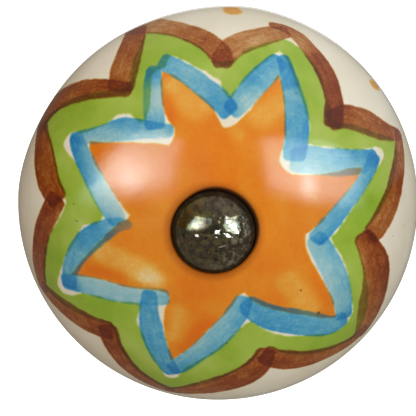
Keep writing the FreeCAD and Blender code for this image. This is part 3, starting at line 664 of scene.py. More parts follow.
# %% Gaps, washes and dabs
# The outline of each filled colour, clockwise from the eleven o'clock petal. Where it stops short of a
# blue or brown stroke, a line of cream shows; where it runs under one, that edge is darker.
ORANGE_STAR = [
    (-5.4, 15.8), (-4.0, 15.3), (-3.0, 14.5), (-2.0, 13.7), (-1.0, 13.0), (-0.1, 12.1), (0.3, 11.1), (0.7, 10.4),
    (1.0, 10.1), (1.6, 10.2), (2.2, 10.5), (2.9, 11.2), (3.6, 11.9), (4.3, 12.8), (5.0, 13.7), (5.8, 14.5),
    (6.6, 15.6), (6.9, 14.4), (7.1, 12.8), (7.15, 11.0), (7.1, 9.4), (6.75, 8.2), (6.5, 7.5), (6.35, 6.9),
    (6.6, 6.3), (7.1, 5.8), (7.7, 5.5), (8.4, 5.4), (9.3, 5.4), (11.0, 5.4), (12.4, 5.6), (13.6, 5.9), (15.2, 5.8),
    (14.6, 4.9), (13.9, 4.0), (13.1, 3.2), (12.3, 2.4), (11.6, 1.7), (11.0, 1.1), (10.2, 0.3), (9.6, -0.1),
    (9.0, -0.5), (8.95, -1.6), (9.2, -2.3), (9.6, -3.2), (10.1, -4.1), (10.6, -5.0), (11.1, -5.9), (11.6, -6.8),
    (12.1, -7.9), (12.3, -9.0), (12.5, -10.0), (11.5, -9.8), (10.0, -9.4), (8.0, -8.8), (6.0, -8.2), (4.6, -7.6),
    (3.6, -6.9), (3.0, -6.1), (2.3, -6.6), (1.8, -7.5), (1.0, -8.6), (0.3, -9.4), (-0.6, -10.3), (-1.3, -11.2),
    (-2.2, -12.3), (-3.0, -13.1), (-3.8, -13.8), (-4.5, -14.5), (-4.7, -13.2), (-4.8, -12.0), (-5.0, -11.0),
    (-5.0, -10.0), (-4.95, -9.0), (-4.9, -8.2), (-4.6, -7.7), (-4.3, -6.9), (-4.6, -6.3), (-5.4, -6.1),
    (-8.0, -6.1), (-9.0, -6.0), (-10.0, -5.8), (-11.0, -5.6), (-12.0, -5.5), (-13.0, -5.5), (-14.9, -5.6),
    (-14.0, -4.5), (-13.1, -3.4), (-12.3, -2.5), (-11.5, -1.6), (-10.7, -0.8), (-10.0, -0.1), (-9.3, 0.6),
    (-8.5, 0.9), (-8.2, 1.4), (-9.0, 2.3), (-9.8, 3.2), (-10.5, 4.2), (-11.2, 5.1), (-11.9, 6.0), (-12.3, 6.8),
    (-12.7, 7.6), (-12.8, 8.5), (-12.0, 8.4), (-10.0, 8.5), (-8.0, 8.5), (-6.5, 8.5), (-5.0, 8.4), (-4.4, 8.3),
    (-4.1, 8.8), (-3.85, 9.3), (-3.85, 9.9), (-4.1, 10.3), (-4.5, 10.7), (-4.9, 11.5), (-5.2, 12.5),
    (-5.4, 13.5), (-5.5, 14.5),
]
GREEN_INSIDE = [
    (-6.6, 15.2), (-6.0, 16.0), (-5.1, 16.4), (-5.0, 17.2), (-4.6, 17.6), (-4.0, 17.4), (-3.0, 16.9), (-2.2, 16.4),
    (-1.7, 16.2), (-1.0, 15.9), (0.0, 15.2), (0.6, 14.8), (0.75, 14.4), (0.9, 13.8), (1.4, 13.0), (1.8, 13.2),
    (2.3, 14.1), (3.2, 15.2), (4.2, 16.2), (5.2, 17.1), (6.2, 17.9), (7.0, 18.5), (7.6, 17.5), (8.0, 16.2),
    (8.3, 15.0), (8.7, 13.6), (9.2, 12.1), (9.5, 11.0), (9.7, 10.2), (9.5, 9.3), (9.3, 8.6), (10.0, 8.3),
    (11.5, 8.1), (13.0, 7.9), (14.5, 7.7), (16.0, 7.8), (17.2, 8.0), (18.1, 7.7), (18.3, 7.0), (17.6, 6.1),
    (16.8, 5.3), (16.0, 4.3), (15.2, 3.3), (14.4, 2.3), (13.6, 1.3), (13.0, 0.4), (12.4, -0.3), (11.7, -1.0),
    (12.0, -1.8), (12.8, -2.9), (13.4, -4.3), (13.8, -5.8), (14.1, -7.4), (14.5, -9.0), (14.6, -9.8), (14.1, -11.0),
    (13.2, -11.8), (12.0, -12.0), (10.0, -11.7), (8.0, -11.6), (7.0, -11.4), (6.0, -11.0), (5.0, -10.5),
    (4.6, -10.2), (4.2, -9.7), (3.7, -9.4), (3.1, -9.7), (2.5, -10.3), (1.8, -11.1), (1.0, -12.0), (0.1, -12.9),
    (-0.9, -13.7), (-2.0, -14.5), (-3.0, -15.3), (-3.6, -16.2), (-4.0, -17.1), (-4.7, -17.35), (-5.3, -17.1),
    (-5.6, -16.2), (-5.9, -15.2), (-6.4, -14.0), (-6.9, -12.6), (-7.3, -11.2), (-7.8, -10.2), (-7.8, -9.5),
    (-7.5, -8.8), (-7.3, -8.0), (-7.8, -7.7), (-9.0, -7.8), (-10.0, -7.8), (-12.0, -7.5), (-13.6, -7.5),
    (-14.2, -7.8), (-15.0, -8.1), (-15.8, -8.2), (-16.5, -8.1), (-16.9, -7.4), (-16.8, -6.5), (-16.4, -5.8),
    (-16.1, -5.0), (-15.6, -3.9), (-14.9, -2.8), (-14.1, -1.6), (-13.6, -0.6), (-13.3, 0.0), (-12.3, 0.1),
    (-11.3, 0.5), (-11.1, 1.2), (-11.6, 2.0), (-12.3, 3.2), (-13.0, 4.4), (-13.7, 5.4), (-14.4, 6.4), (-15.3, 7.0),
    (-15.8, 7.4), (-16.1, 8.0), (-15.8, 8.8), (-15.3, 9.3), (-14.0, 9.3), (-13.0, 9.5), (-12.0, 9.9), (-11.0, 10.3),
    (-10.2, 11.1), (-9.4, 11.4), (-8.6, 11.4), (-8.1, 11.0), (-7.5, 10.6), (-6.8, 10.8), (-6.6, 12.0), (-6.5, 14.0),
]
GREEN_OUTSIDE = [
    (-8.2, 20.8), (-7.0, 20.8), (-5.0, 20.3), (-3.0, 19.5), (-1.6, 18.6), (-0.7, 17.6), (-0.4, 17.0), (0.8, 16.9),
    (2.2, 17.2), (3.0, 18.2), (4.0, 18.8), (5.0, 19.2), (6.0, 19.6), (7.0, 20.0), (7.7, 20.3), (8.3, 19.9),
    (9.0, 19.4), (9.6, 18.9), (10.2, 17.9), (11.0, 16.5), (11.5, 15.0), (11.8, 13.5), (12.0, 12.0), (12.2, 11.0),
    (12.5, 10.6), (13.4, 10.4), (15.0, 10.2), (16.5, 9.7), (18.0, 9.3), (19.5, 9.0), (20.4, 8.8), (20.7, 8.2),
    (20.8, 7.2), (20.4, 6.1), (19.8, 4.8), (19.1, 3.6), (18.2, 2.4), (17.3, 1.2), (16.3, 0.2), (15.2, -0.9),
    (14.6, -1.3), (14.4, -2.0), (14.9, -2.9), (15.3, -4.2), (15.8, -6.0), (16.3, -7.5), (16.5, -9.5), (16.4, -11.5),
    (16.2, -12.8), (15.4, -14.2), (13.0, -14.5), (11.0, -14.5), (9.0, -14.2), (7.5, -13.8), (6.4, -13.2),
    (5.7, -12.8), (5.0, -12.7), (4.6, -13.2), (4.0, -14.2), (3.1, -15.1), (2.1, -15.9), (1.0, -16.6), (0.0, -17.2),
    (-1.0, -17.7), (-2.0, -18.2), (-3.0, -18.8), (-4.0, -19.4), (-5.3, -20.1), (-6.3, -19.5), (-7.4, -18.3),
    (-8.4, -17.0), (-9.2, -15.5), (-9.8, -14.3), (-10.3, -12.5), (-10.5, -11.0), (-11.2, -10.6), (-13.0, -10.5),
    (-15.0, -10.1), (-17.0, -9.6), (-19.0, -8.9), (-19.2, -7.0), (-18.8, -5.0), (-18.4, -3.5), (-17.7, -2.0),
    (-16.8, -0.8), (-16.0, 0.4), (-15.5, 1.3), (-15.2, 2.0), (-15.5, 3.0), (-16.2, 3.7), (-16.6, 4.8), (-17.1, 6.0),
    (-17.7, 7.2), (-18.4, 8.2), (-19.4, 9.1), (-20.4, 9.7), (-20.0, 10.8), (-18.0, 12.0), (-16.0, 12.9),
    (-14.0, 13.4), (-12.0, 13.7), (-10.5, 13.9), (-9.2, 14.0), (-8.9, 15.0), (-8.9, 17.0), (-8.5, 19.0),
]
# Broad touches of a loaded or a thirsty brush in the orange: (from, to, half width, more or less paint).
ORANGE_WASHES = [
    ((-3.8, 14.0), (-1.6, 12.0), 1.4, -0.40), ((5.9, 12.6), (4.6, 11.4), 1.5, -0.35),
    ((1.9, 9.9), (2.3, 9.4), 0.7, -0.45),
    ((-11.2, -2.6), (-6.2, -4.6), 1.2, -0.50), ((-6.8, -5.0), (-5.2, -5.0), 0.8, -0.35),
    ((-12.6, -4.7), (-9.4, -4.9), 0.5, 0.40), ((-3.9, -11.5), (-3.4, -8.6), 0.9, -0.35),
    ((-3.4, -12.6), (-0.6, -9.6), 0.7, 0.40), ((7.4, -5.4), (9.6, -8.2), 1.3, -0.40),
    ((10.0, -5.0), (11.4, -8.4), 0.5, 0.25), ((-4.7, 13.0), (-4.3, 11.0), 0.5, 0.40),
    ((-11.8, 7.6), (-11.6, 6.4), 0.5, 0.35), ((-10.8, 7.9), (-9.6, 7.9), 0.3, 0.25),
    ((0.0, 9.0), (0.0, 5.5), 2.5, 0.15), ((0.6, -5.5), (-2.0, -5.0), 1.6, 0.15),
    ((2.6, 11.6), (5.8, 13.9), 0.4, 0.25),
]
RIM_DABS = [((1.9, 24.8), 0.95), ((20.0, 15.8), 0.8), ((26.0, -2.2), 0.8), ((10.0, -23.9), 0.8),
            ((-18.4, -18.0), 0.8), ((-26.0, 2.8), 0.8), ((-21.5, 14.6), 0.8)]
# Iron in the clay burns through as specks: (place, radius).
IRON_SPECKS = [((-14.35, 2.05), 0.13), ((-14.05, 0.25), 0.14), ((-1.15, 19.6), 0.18), ((8.3, 13.6), 0.14),
               ((8.65, -6.3), 0.14), ((10.6, -9.1), 0.20), ((-13.4, -8.7), 0.10), ((-15.1, 6.0), 0.09),
               ((21.2, -1.1), 0.12), ((19.2, -1.9), 0.12), ((-8.4, 14.7), 0.12)]
print(len(ORANGE_STAR), "places round the star")

# %% Measure the painting at the ceramic's points
def brush_path(stops, per_span=6):
    """A smooth line through the stops of one stroke, with all that each stop holds."""
    stops = np.array(stops, float)
    padded = np.vstack([2 * stops[0] - stops[1], stops, 2 * stops[-1] - stops[-2]])
    path = []
    for a, b, c, d in zip(padded, padded[1:], padded[2:], padded[3:]):
        for t in np.linspace(0, 1, per_span, endpoint=False):
            path.append(0.5 * (2 * b + (c - a) * t + (2 * a - 5 * b + 4 * c - d) * t**2
                               + (3 * b - a - 3 * c + d) * t**3))
    return np.vstack([path, stops[-1]])


def measure_line(places, path):
    """For each place: its distance from a line, how far along that is, how far to the line's left, and
    what the line holds there."""
    along = lengths_along(path[:, :2])
    best = np.full(len(places), np.inf)
    travel, side = np.zeros(len(places)), np.zeros(len(places))
    held = np.zeros((len(places), path.shape[1] - 2))
    for k in range(len(path) - 1):
        start, run = path[k, :2], path[k + 1, :2] - path[k, :2]
        offset = places - start
        t = np.clip(offset @ run / max(run @ run, 1e-12), 0, 1)
        away = offset - t[:, None] * run
        gap = np.hypot(away[:, 0], away[:, 1])
        closer = gap < best
        best[closer] = gap[closer]
        travel[closer] = (along[k] + t * (along[k + 1] - along[k]))[closer]
        side[closer] = (np.sign(run[0] * away[:, 1] - run[1] * away[:, 0]) * gap)[closer]
        held[closer] = (path[k, 2:] + t[:, None] * (path[k + 1, 2:] - path[k, 2:]))[closer]
    return best, travel, side, held


def along_step(a, b):
    return (b - a) / np.hypot(*(b - a))


def flat_brush(places, stops, corner=0.45):
    """One stroke of a flat brush: the distance to its edge, how far along and across each place is, and
    the paint there. Its ends are square with rounded corners."""
    path = brush_path(stops)
    gap, travel, side, held = measure_line(places, path)
    half_width, paint = held.T
    line = path[:, :2]
    past_end = np.maximum((line[0] - places) @ along_step(line[0], line[1]),
                          (places - line[-1]) @ along_step(line[-2], line[-1]))
    beside = np.where(past_end > 0, np.sqrt(np.maximum(gap**2 - past_end**2, 0)), gap)
    across, beyond = beside - half_width + corner, past_end + corner
    outside = np.hypot(np.maximum(across, 0), np.maximum(beyond, 0))
    edge = outside + np.minimum(np.maximum(across, beyond), 0) - corner
    return edge, travel, side, np.clip(side / half_width, -1, 1), paint


def area_edge(places, corners):
    """The distance to the outline of a filled area, negative inside it."""
    closed = np.array(corners + corners[:1], float)
    inside = np.zeros(len(places), bool)
    for (x0, y0), (x1, y1) in zip(closed, closed[1:]):
        if y1 != y0:
            crosses = (y0 > places[:, 1]) != (y1 > places[:, 1])
            inside ^= crosses & (places[:, 0] < (x1 - x0) * (places[:, 1] - y0) / (y1 - y0) + x0)
    gap = measure_line(places, closed)[0]
    return np.where(inside, -gap, gap)


spots = np.empty(len(ceramic.vertices) * 3)
ceramic.vertices.foreach_get("co", spots)
spots = spots.reshape(-1, 3)
along = np.empty(len(spots))
ceramic.attributes["along"].data.foreach_get("value", along)
angle = np.arctan2(spots[:, 0], spots[:, 2])
# On the dented side the painting isn't dented too, so places there go by their distance from the axis.
crown_part = (ceramic_outline[:, 1] > SHOULDER_CENTRE[1]) & (along_crown > 4)
from_axis = np.hypot(spots[:, 0], spots[:, 2]) / MM
in_front = (spots[:, 1] < -SHOULDER_CENTRE[1] * MM) & (along > 4)
along[in_front] = np.interp(from_axis[in_front], ceramic_outline[crown_part, 0], along_crown[crown_part])
chart = np.stack([along * np.sin(angle), along * np.cos(angle)], 1)
paintable = (along > 3.5) & (along < 30)
near = chart[paintable]


def store(name, values, outside, vector=False):
    """Stores a measure on the ceramic's points; it is only worked out where the paint can reach."""
    shape = (len(spots), 3) if vector else (len(spots),)
    full = np.full(shape, outside, np.float32)
    full[paintable] = values
    kind = "FLOAT_VECTOR" if vector else "FLOAT"
    holder = ceramic.attributes.new(name, kind, "POINT")
    holder.data.foreach_set("vector" if vector else "value", full.ravel())


def lay_strokes(name, strokes):
    """Stores one set of strokes: the distance to their edge, their paint, and the run of the bristles."""
    edge, paint = np.full(len(near), 9.0), np.zeros(len(near))
    run = np.zeros((len(near), 3))
    for number, (stops, lean) in enumerate(strokes):
        reach = np.array(stops)[:, :2]
        close = ((near > reach.min(0) - 3) & (near < reach.max(0) + 3)).all(1)
        gap, travel, side, across, load = flat_brush(near[close], stops)
        closer = gap < edge[close]
        where = np.flatnonzero(close)[closer]
        edge[where] = gap[closer]
        paint[where] = (load * (1 + lean * across))[closer]
        run[where] = np.stack([travel, side, np.full(len(gap), 7.3 * number)], 1)[closer]
    store(name + "_edge", edge, 9.0)
    store(name + "_paint", paint, 0.0)
    store(name + "_run", run, 0.0, vector=True)


for colour, strokes in (("blue", BLUE_STROKES), ("brown", BROWN_STROKES)):
    lay_strokes(colour + "_even", strokes[0::2])
    lay_strokes(colour + "_odd", strokes[1::2])

star = area_edge(near, ORANGE_STAR)
store("orange_edge", star, 9.0)
store("green_edge", np.maximum(-area_edge(near, GREEN_INSIDE), area_edge(near, GREEN_OUTSIDE)), 9.0)
wash = np.zeros(len(near))
for start, end, half_width, amount in ORANGE_WASHES:
    gap = measure_line(near, np.array([start, end]))[0]
    wash += amount * (1 - 1 / (1 + np.exp(-(gap - half_width) / 0.22)))
store("orange_wash", wash, 0.0)


def round_spots(spots_listed, stretch=1.0):
    """The distance to the nearest of some round spots, negative inside one."""
    return np.min([np.hypot(*((near - place) * (stretch, 1.0)).T) - reach
                   for place, reach in spots_listed], axis=0)


store("dab_edge", round_spots(RIM_DABS, 0.8), 9.0)
store("speck_edge", round_spots(IRON_SPECKS), 9.0)
print(f"painting measured at {len(near)} points; orange covers {np.mean(star < 0):.0%} of them")

# %% [markdown]
# ## Shared effects
# Several finishes need the same few effects, so each is a shader group with named sockets. One wobbles
# the edge of a painted area, as absorbent clay does. One turns a stroke's measures into paint, thicker
# at its rim and streaked by the bristles. One lays a see-through colour over what is under it. One
# scatters specks or pits, and one gives slow cloudy change, for tarnish or uneven glaze.

# %% Groups for edges, strokes, pigment, specks and clouds
edge_group, wires, entry, leave = new_group(
    "painted_edge", {"Edge": 0.0, "Wobble": 0.12, "Softness": 0.08}, {"Cover": 0.0, "Depth": 0.0})
place = wires.place_in_mm()
slow = wires.minus(wires.noise(place, 1.1, 2.0), 0.5)
fine = wires.minus(wires.noise(place, 6.0, 2.0), 0.5)
shake = wires.plus(slow, wires.times(fine, 0.45))
moved = wires.plus(entry["Edge"], wires.times(shake, entry["Wobble"]))
inward = wires.times(moved, -1.0)
wires.feed(leave["Cover"], wires.ramp(inward, wires.times(entry["Softness"], -1.0), entry["Softness"]))
wires.feed(leave["Depth"], inward)

stroke_group, wires, entry, leave = new_group(
    "brush_stroke", {"Edge": 0.0, "Paint": 1.0, "Run": "", "Wobble": 0.14, "Softness": 0.07, "Streaks": 0.5},
    {"Cover": 0.0, "Paint": 0.0})
edges = use(wires, edge_group, {k: entry[k] for k in ("Edge", "Wobble", "Softness")})
bristles = wires.noise(wires.vector("MULTIPLY", entry["Run"], (0.35, 3.0, 1.0)), 1.0, 3.0, 0.6)
pools = wires.noise(wires.place_in_mm(), 0.9, 2.0, 0.6, 0.4)
grain = wires.noise(wires.place_in_mm(), 3.4, 4.0, 0.7)
streak = wires.times(wires.minus(bristles, 0.5), entry["Streaks"])
pool = wires.times(wires.minus(pools, 0.5), 0.9)
mottle = wires.times(wires.minus(grain, 0.5), wires.times(entry["Streaks"], 1.3))
rim = wires.times(wires.ramp(edges["Depth"], 0.0, 0.4, 1.0, 0.0), 0.12)
change = wires.plus(wires.plus(wires.plus(streak, mottle), wires.plus(pool, rim)), 1.0)
held = wires.times(wires.times(entry["Paint"], change), edges["Cover"])
wires.feed(leave["Cover"], edges["Cover"])
wires.feed(leave["Paint"], wires.most(held, 0.0))

pigment_group, wires, entry, leave = new_group(
    "see_through_pigment", {"Under": (0.7, 0.7, 0.6), "Stain": (0.5, 0.5, 0.5), "Body": (0.5, 0.5, 0.5),
                            "Paint": 1.0, "Hiding": 0.1}, {"Color": (0.0, 0.0, 0.0)})
under = wires.node("ShaderNodeSeparateColor", {0: entry["Under"]}).outputs
stain = wires.node("ShaderNodeSeparateColor", {0: entry["Stain"]}).outputs
through = [wires.times(under[k], wires.calc("POWER", stain[k], entry["Paint"])) for k in range(3)]
stained = wires.node("ShaderNodeCombineColor", dict(enumerate(through))).outputs[0]
shows = wires.calc("POWER", wires.rest(entry["Hiding"]), entry["Paint"])
hidden = wires.rest(shows)
wires.feed(leave["Color"], wires.blend(hidden, stained, entry["Body"]))

speck_group, wires, entry, leave = new_group(
    "specks", {"Per mm": 1.0, "Size": 0.12, "Share": 0.3}, {"Mask": 0.0})
cells = wires.node("ShaderNodeTexVoronoi", {"Vector": wires.place_in_mm(), "Scale": entry["Per mm"]})
chance = wires.node("ShaderNodeSeparateColor", {0: cells.outputs["Color"]}).outputs
size = wires.times(entry["Size"], wires.plus(chance[1], 0.4))
dot = wires.ramp(cells.outputs["Distance"], size, wires.times(size, 0.6))
wires.feed(leave["Mask"], wires.times(dot, wires.calc("LESS_THAN", chance[0], entry["Share"])))

cloud_group, wires, entry, leave = new_group(
    "clouds", {"Per mm": 0.3, "Detail": 3.0, "Low": 0.35, "High": 0.65}, {"Mask": 0.0, "Level": 0.0})
level = wires.noise(wires.place_in_mm(), entry["Per mm"], entry["Detail"], 0.55)
wires.feed(leave["Mask"], wires.ramp(level, entry["Low"], entry["High"]))
wires.feed(leave["Level"], level)


def clouds(wires, per_mm, detail=3.0, low=0.35, high=0.65, output="Mask"):
    return use(wires, cloud_group, {"Per mm": per_mm, "Detail": detail, "Low": low, "High": high})[output]


print("groups:", [g.name for g in bpy.data.node_groups])

# %% [markdown]
# ## Painted glaze
# Under the clear glaze the pigments stain the cream rather than cover it: where two strokes cross, the
# light passes both, and the joint is darker. So each colour is given by what it lets through, raised to
# the amount of paint. The glaze over them is glass-smooth, with a slow ripple, faint relief over the
# strokes and a few iron specks. Painted shade darkens the orange round the bolt's seat, most to the
# upper right of the head. Foot and bore are bare clay.

# %% Painted glaze
CREAM = tint(223, 217, 200)
BARE_CLAY = tint(196, 182, 158)
# Each pigment: what one coat looks like on cream, its own body colour, and how much a coat hides.
PIGMENTS = {
    "orange": (tint(215, 126, 22), tint(211, 112, 14), 0.25),
    "green": (tint(143, 171, 56), tint(102, 138, 28), 0.25),
    "blue": (tint(88, 158, 198), tint(20, 94, 162), 0.34),
    "brown": (tint(152, 88, 36), tint(74, 30, 3), 0.34),
}


def let_through(coat, body, hiding):
    """What one coat of a pigment lets through, from how that coat looks on cream."""
    clear = [(c - hiding * b) / (1 - hiding) for c, b in zip(coat, body)]
    return tuple(min(max(c / cream, 0.01), 0.99) for c, cream in zip(clear, CREAM))


painted_glaze.use_nodes = True
wires = Wiring(painted_glaze.node_tree)
uneven = clouds(wires, 0.16, 3.0, 0.3, 0.7)
colour = wires.blend(uneven, tint(226, 221, 205), tint(218, 211, 190))


def lay(under, name, paint):
    coat, body, hiding = PIGMENTS[name]
    return use(wires, pigment_group, {"Under": under, "Stain": let_through(coat, body, hiding), "Body": body,
                                      "Paint": paint, "Hiding": hiding})["Color"]


orange = use(wires, edge_group, {"Edge": wires.reading("orange_edge"), "Wobble": 0.25, "Softness": 0.15})
patches = use(wires, cloud_group, {"Per mm": 0.35, "Detail": 4.0})["Level"]
patches = wires.times(wires.minus(patches, 0.5), 0.7)
grain = wires.minus(wires.noise(wires.place_in_mm(), 2.4, 4.0, 0.65), 0.5)
patches = wires.plus(patches, wires.times(grain, 0.45))
orange_paint = wires.plus(wires.plus(patches, wires.reading("orange_wash")), 1.0)
dab = use(wires, edge_group, {"Edge": wires.reading("dab_edge"), "Wobble": 0.4, "Softness": 0.25})["Cover"]
orange_cover = wires.plus(orange["Cover"], wires.times(dab, 0.6))
colour = lay(colour, "orange", wires.times(orange_paint, orange_cover))

green = use(wires, edge_group, {"Edge": wires.reading("green_edge"), "Wobble": 0.3, "Softness": 0.16})
meadow = use(wires, cloud_group, {"Per mm": 0.22, "Detail": 3.0})["Level"]
green_paint = wires.plus(wires.times(wires.minus(meadow, 0.5), 1.3), 0.95)
colour = lay(colour, "green", wires.times(green_paint, green["Cover"]))

relief = wires.times(green["Cover"], 0.3)
for name, load, streaks in (("blue", 1.2, 0.6), ("brown", 1.3, 0.9)):
    first, second = (use(wires, stroke_group, {
        "Edge": wires.reading(name + half + "_edge"), "Paint": wires.reading(name + half + "_paint"),
        "Run": wires.reading(name + half + "_run", "Vector"), "Streaks": streaks, "Wobble": 0.24,
        "Softness": 0.17}) for half in ("_even", "_odd"))
    # Where two wet strokes cross, some of the first lifts, so the joint holds less than both.
    thick = wires.most(first["Paint"], second["Paint"])
    thin = wires.times(wires.calc("MINIMUM", first["Paint"], second["Paint"]), 0.65)
    colour = lay(colour, name, wires.times(wires.plus(thick, thin), load))
    relief = wires.plus(relief, wires.most(first["Cover"], second["Cover"]))

along_outline = wires.reading("along")
specks = use(wires, speck_group, {"Per mm": 0.33, "Size": 0.045, "Share": 0.5})["Mask"]
burnt = wires.ramp(wires.reading("speck_edge"), -0.05, 0.05, 1.0, 0.0)
specks = wires.most(wires.times(specks, 0.7), burnt)
colour = wires.blend(wires.times(specks, 0.75), colour, tint(70, 48, 30))
# Painted shade: the orange darkens towards the bolt's head, where it sits in the crown.
painted_seat_shade = wires.ramp(along_outline, 4.1, 5.2, 0.6, 0.0)
colour = wires.blend(painted_seat_shade, colour, tint(140, 62, 8))
# Painted shadow round the head's seat, near black, reaching furthest out to the upper right of the head.
corner = wires.vector("DOT_PRODUCT", wires.place_in_mm(), (0.7, 0.0, 0.7))
shadow_reach = wires.minus(along_outline, wires.ramp(corner, 0.0, 4.0, 0.0, 0.28))
painted_seat_shadow = wires.ramp(shadow_reach, 3.95, 4.35, 1.0, 0.0)
colour = wires.blend(painted_seat_shadow, colour, tint(40, 20, 8))
bore_side = wires.calc("LESS_THAN", along_outline, 1.5)
foot_side = wires.ramp(along_outline, 42.6, 43.0)
bare = wires.most(bore_side, foot_side)
colour = wires.blend(bare, colour, BARE_CLAY)

ripple = wires.noise(wires.place_in_mm(), 0.35, 2.0)
orange_peel = wires.noise(wires.place_in_mm(), 3.0, 2.0)
height = wires.plus(wires.times(relief, 0.003), wires.times(ripple, 0.02))
height = wires.plus(height, wires.times(orange_peel, 0.004))
height = wires.minus(height, wires.times(specks, 0.02))
bump = wires.bump(height)
roughness = wires.ramp(bare, 0.0, 1.0, 0.10, 0.8)
glaze = wires.node("ShaderNodeBsdfPrincipled", {
    "Base Color": colour, "Roughness": roughness, "IOR": 1.6, "Normal": bump,
    "Specular IOR Level": wires.ramp(along_outline, 4.15, 4.7, 0.1, 0.5)})
wires.node("ShaderNodeOutputMaterial", {0: glaze.outputs[0]})
place_piece("painted_knob", ceramic, "knob_body")

# %% [markdown]
# ## Bolt
# One brass bolt runs through everything. Its domed head sits in the crown, its shank is plain inside
# the ceramic and its tail is threaded. The head and shank are turned. The thread is a rule of its own:
# the rows of its grid climb with the helix, so each crest is one clean line from end to end.

# %% The thread rule, in Geometry Nodes
threading, wires, entry, leave = new_tree("rolled_thread", {
    "Spokes": "Int", "Turns": "Int", "Rows per Turn": "Int", "Pitch": "Float", "Crest": "Float",
    "Depth": "Float", "Blank": "Float", "Start": "Float", "Tip": "Float", "Tip Radius": "Float",
    "Material": "Material"})
columns = wires.plus(entry["Spokes"], 1.0)
last_row = wires.times(entry["Turns"], entry["Rows per Turn"])
grid, column, row, place = numbered_grid(wires, columns, wires.plus(last_row, 1.0))
part_turn = wires.calc("DIVIDE", column, entry["Spokes"])
turns = wires.calc("DIVIDE", row, entry["Rows per Turn"])
climb = wires.times(wires.minus(wires.plus(turns, part_turn), 1.0), entry["Pitch"])
distance = wires.plus(entry["Start"], climb)
distance = wires.calc("MINIMUM", wires.most(distance, entry["Start"]), entry["Tip"])
wave = wires.calc("ABSOLUTE", wires.minus(wires.times(wires.calc("FRACT", turns), 2.0), 1.0))
ridge = wires.ramp(wave, 0.22, 0.92)
root = wires.minus(entry["Crest"], entry["Depth"])
thread_radius = wires.plus(root, wires.times(ridge, entry["Depth"]))
run_in = wires.ramp(distance, entry["Start"], wires.plus(entry["Start"], entry["Pitch"]))
radius = wires.plus(wires.times(thread_radius, run_in),
                    wires.times(entry["Blank"], wires.rest(run_in)))
cone = wires.plus(entry["Tip Radius"], wires.minus(entry["Tip"], distance))
radius = wires.calc("MINIMUM", radius, cone)
is_last = wires.calc("GREATER_THAN", row, wires.minus(last_row, 0.5))
radius = wires.times(radius, wires.rest(is_last))
angle = wires.times(part_turn, math.tau)
spot = wires.node("ShaderNodeCombineXYZ", {0: wires.times(radius, wires.calc("SINE", angle)),
                                           1: distance,
                                           2: wires.times(radius, wires.calc("COSINE", angle))})
worn = wires.node("GeometryNodeStoreNamedAttribute", {"Geometry": grid, "Name": "wear", "Value": ridge},
                  data_type="FLOAT", domain="POINT").outputs[0]
moved = wires.node("GeometryNodeSetPosition", {"Geometry": worn, "Position": spot.outputs[0]}).outputs[0]
finish_tree(wires, moved, entry["Material"], leave)
print("rolled_thread has", len(threading.nodes), "nodes")

# %% Make the bolt
HEAD_RADIUS, HEAD_RIM, HEAD_DOME = 4.02, 0.85, 1.95
SHANK_RADIUS, THREAD_RADIUS, THREAD_DEPTH, THREAD_PITCH = 1.78, 2.0, 0.42, 0.7
THREAD_START, STUD_TIP, TIP_RADIUS = 7.0, -28.0, 1.5
BOLT_SPOKES, ROWS_PER_TURN = 96, 10

dome_radius = (HEAD_RADIUS**2 + HEAD_DOME**2) / (2 * HEAD_DOME)
dome_centre = (0.0, SEAT_FLOOR + HEAD_RIM + HEAD_DOME - dome_radius)
rim_angle = math.degrees(math.asin((dome_radius - HEAD_DOME) / dome_radius))
rim_top = (HEAD_RADIUS, SEAT_FLOOR + HEAD_RIM)
runs = [
    bow(dome_centre, dome_radius, 90, rim_angle),
    straight(rim_top, (HEAD_RADIUS, SEAT_FLOOR)),
    straight((HEAD_RADIUS, SEAT_FLOOR), (SHANK_RADIUS, SEAT_FLOOR)),
    straight((SHANK_RADIUS, SEAT_FLOOR), (SHANK_RADIUS, THREAD_START)),
]
head_outline, head_wear = eased_outline(runs, [0.25, 0.15, -0.2], [0.12, 0.2, 0.8, 3.0])
head_outline[0, 0] = 0.0
head = turned("bolt_head", head_outline, head_wear * 0.4, antique_brass, spokes=BOLT_SPOKES, closed=False)
turns = math.ceil((THREAD_START - STUD_TIP) / THREAD_PITCH) + 2
seed = bpy.data.meshes.new("thread_seed")
tail = plain_mesh("bolt_tail", seed, threading, {
    "Spokes": BOLT_SPOKES, "Turns": turns, "Rows per Turn": ROWS_PER_TURN, "Pitch": THREAD_PITCH * MM,
    "Crest": THREAD_RADIUS * MM, "Depth": THREAD_DEPTH * MM, "Blank": SHANK_RADIUS * MM,
    "Start": -THREAD_START * MM, "Tip": -STUD_TIP * MM, "Tip Radius": TIP_RADIUS * MM,
    "Material": antique_brass})


def join_meshes(name, first, second, material):
    """One mesh from two that share a ring of points."""
    both = bmesh.new()
    for part in (first, second):
        if volume_of(part) < 0:
            part.flip_normals()
        both.from_mesh(part)
    bmesh.ops.remove_doubles(both, verts=both.verts, dist=0.001 * MM)
    open_edges = [e for e in both.edges if e.is_boundary]
    joined = bpy.data.meshes.new(name)
    both.to_mesh(joined)
    both.free()
    if not joined.materials:
        joined.materials.append(material)
    print(name, "open edges:", len(open_edges))
    return joined


bolt = join_meshes("brass_bolt", head, tail, antique_brass)
place_piece("brass_bolt", bolt, "domed_bolt")

# %% [markdown]
# ## Collar, washer and nut
# Behind the ceramic sits a cup pressed from brass sheet, with a flange that lies on the door. In the
# cup a plain steel washer and a nut clamp everything to the bolt's head. All three are turned by the
# same rule. Sheet bends where it is pressed, so the collar's corners are rounded. The nut is a turned
# blank with 30-degree chamfers, cut by six flats, and that is what draws the curved edges on its faces.

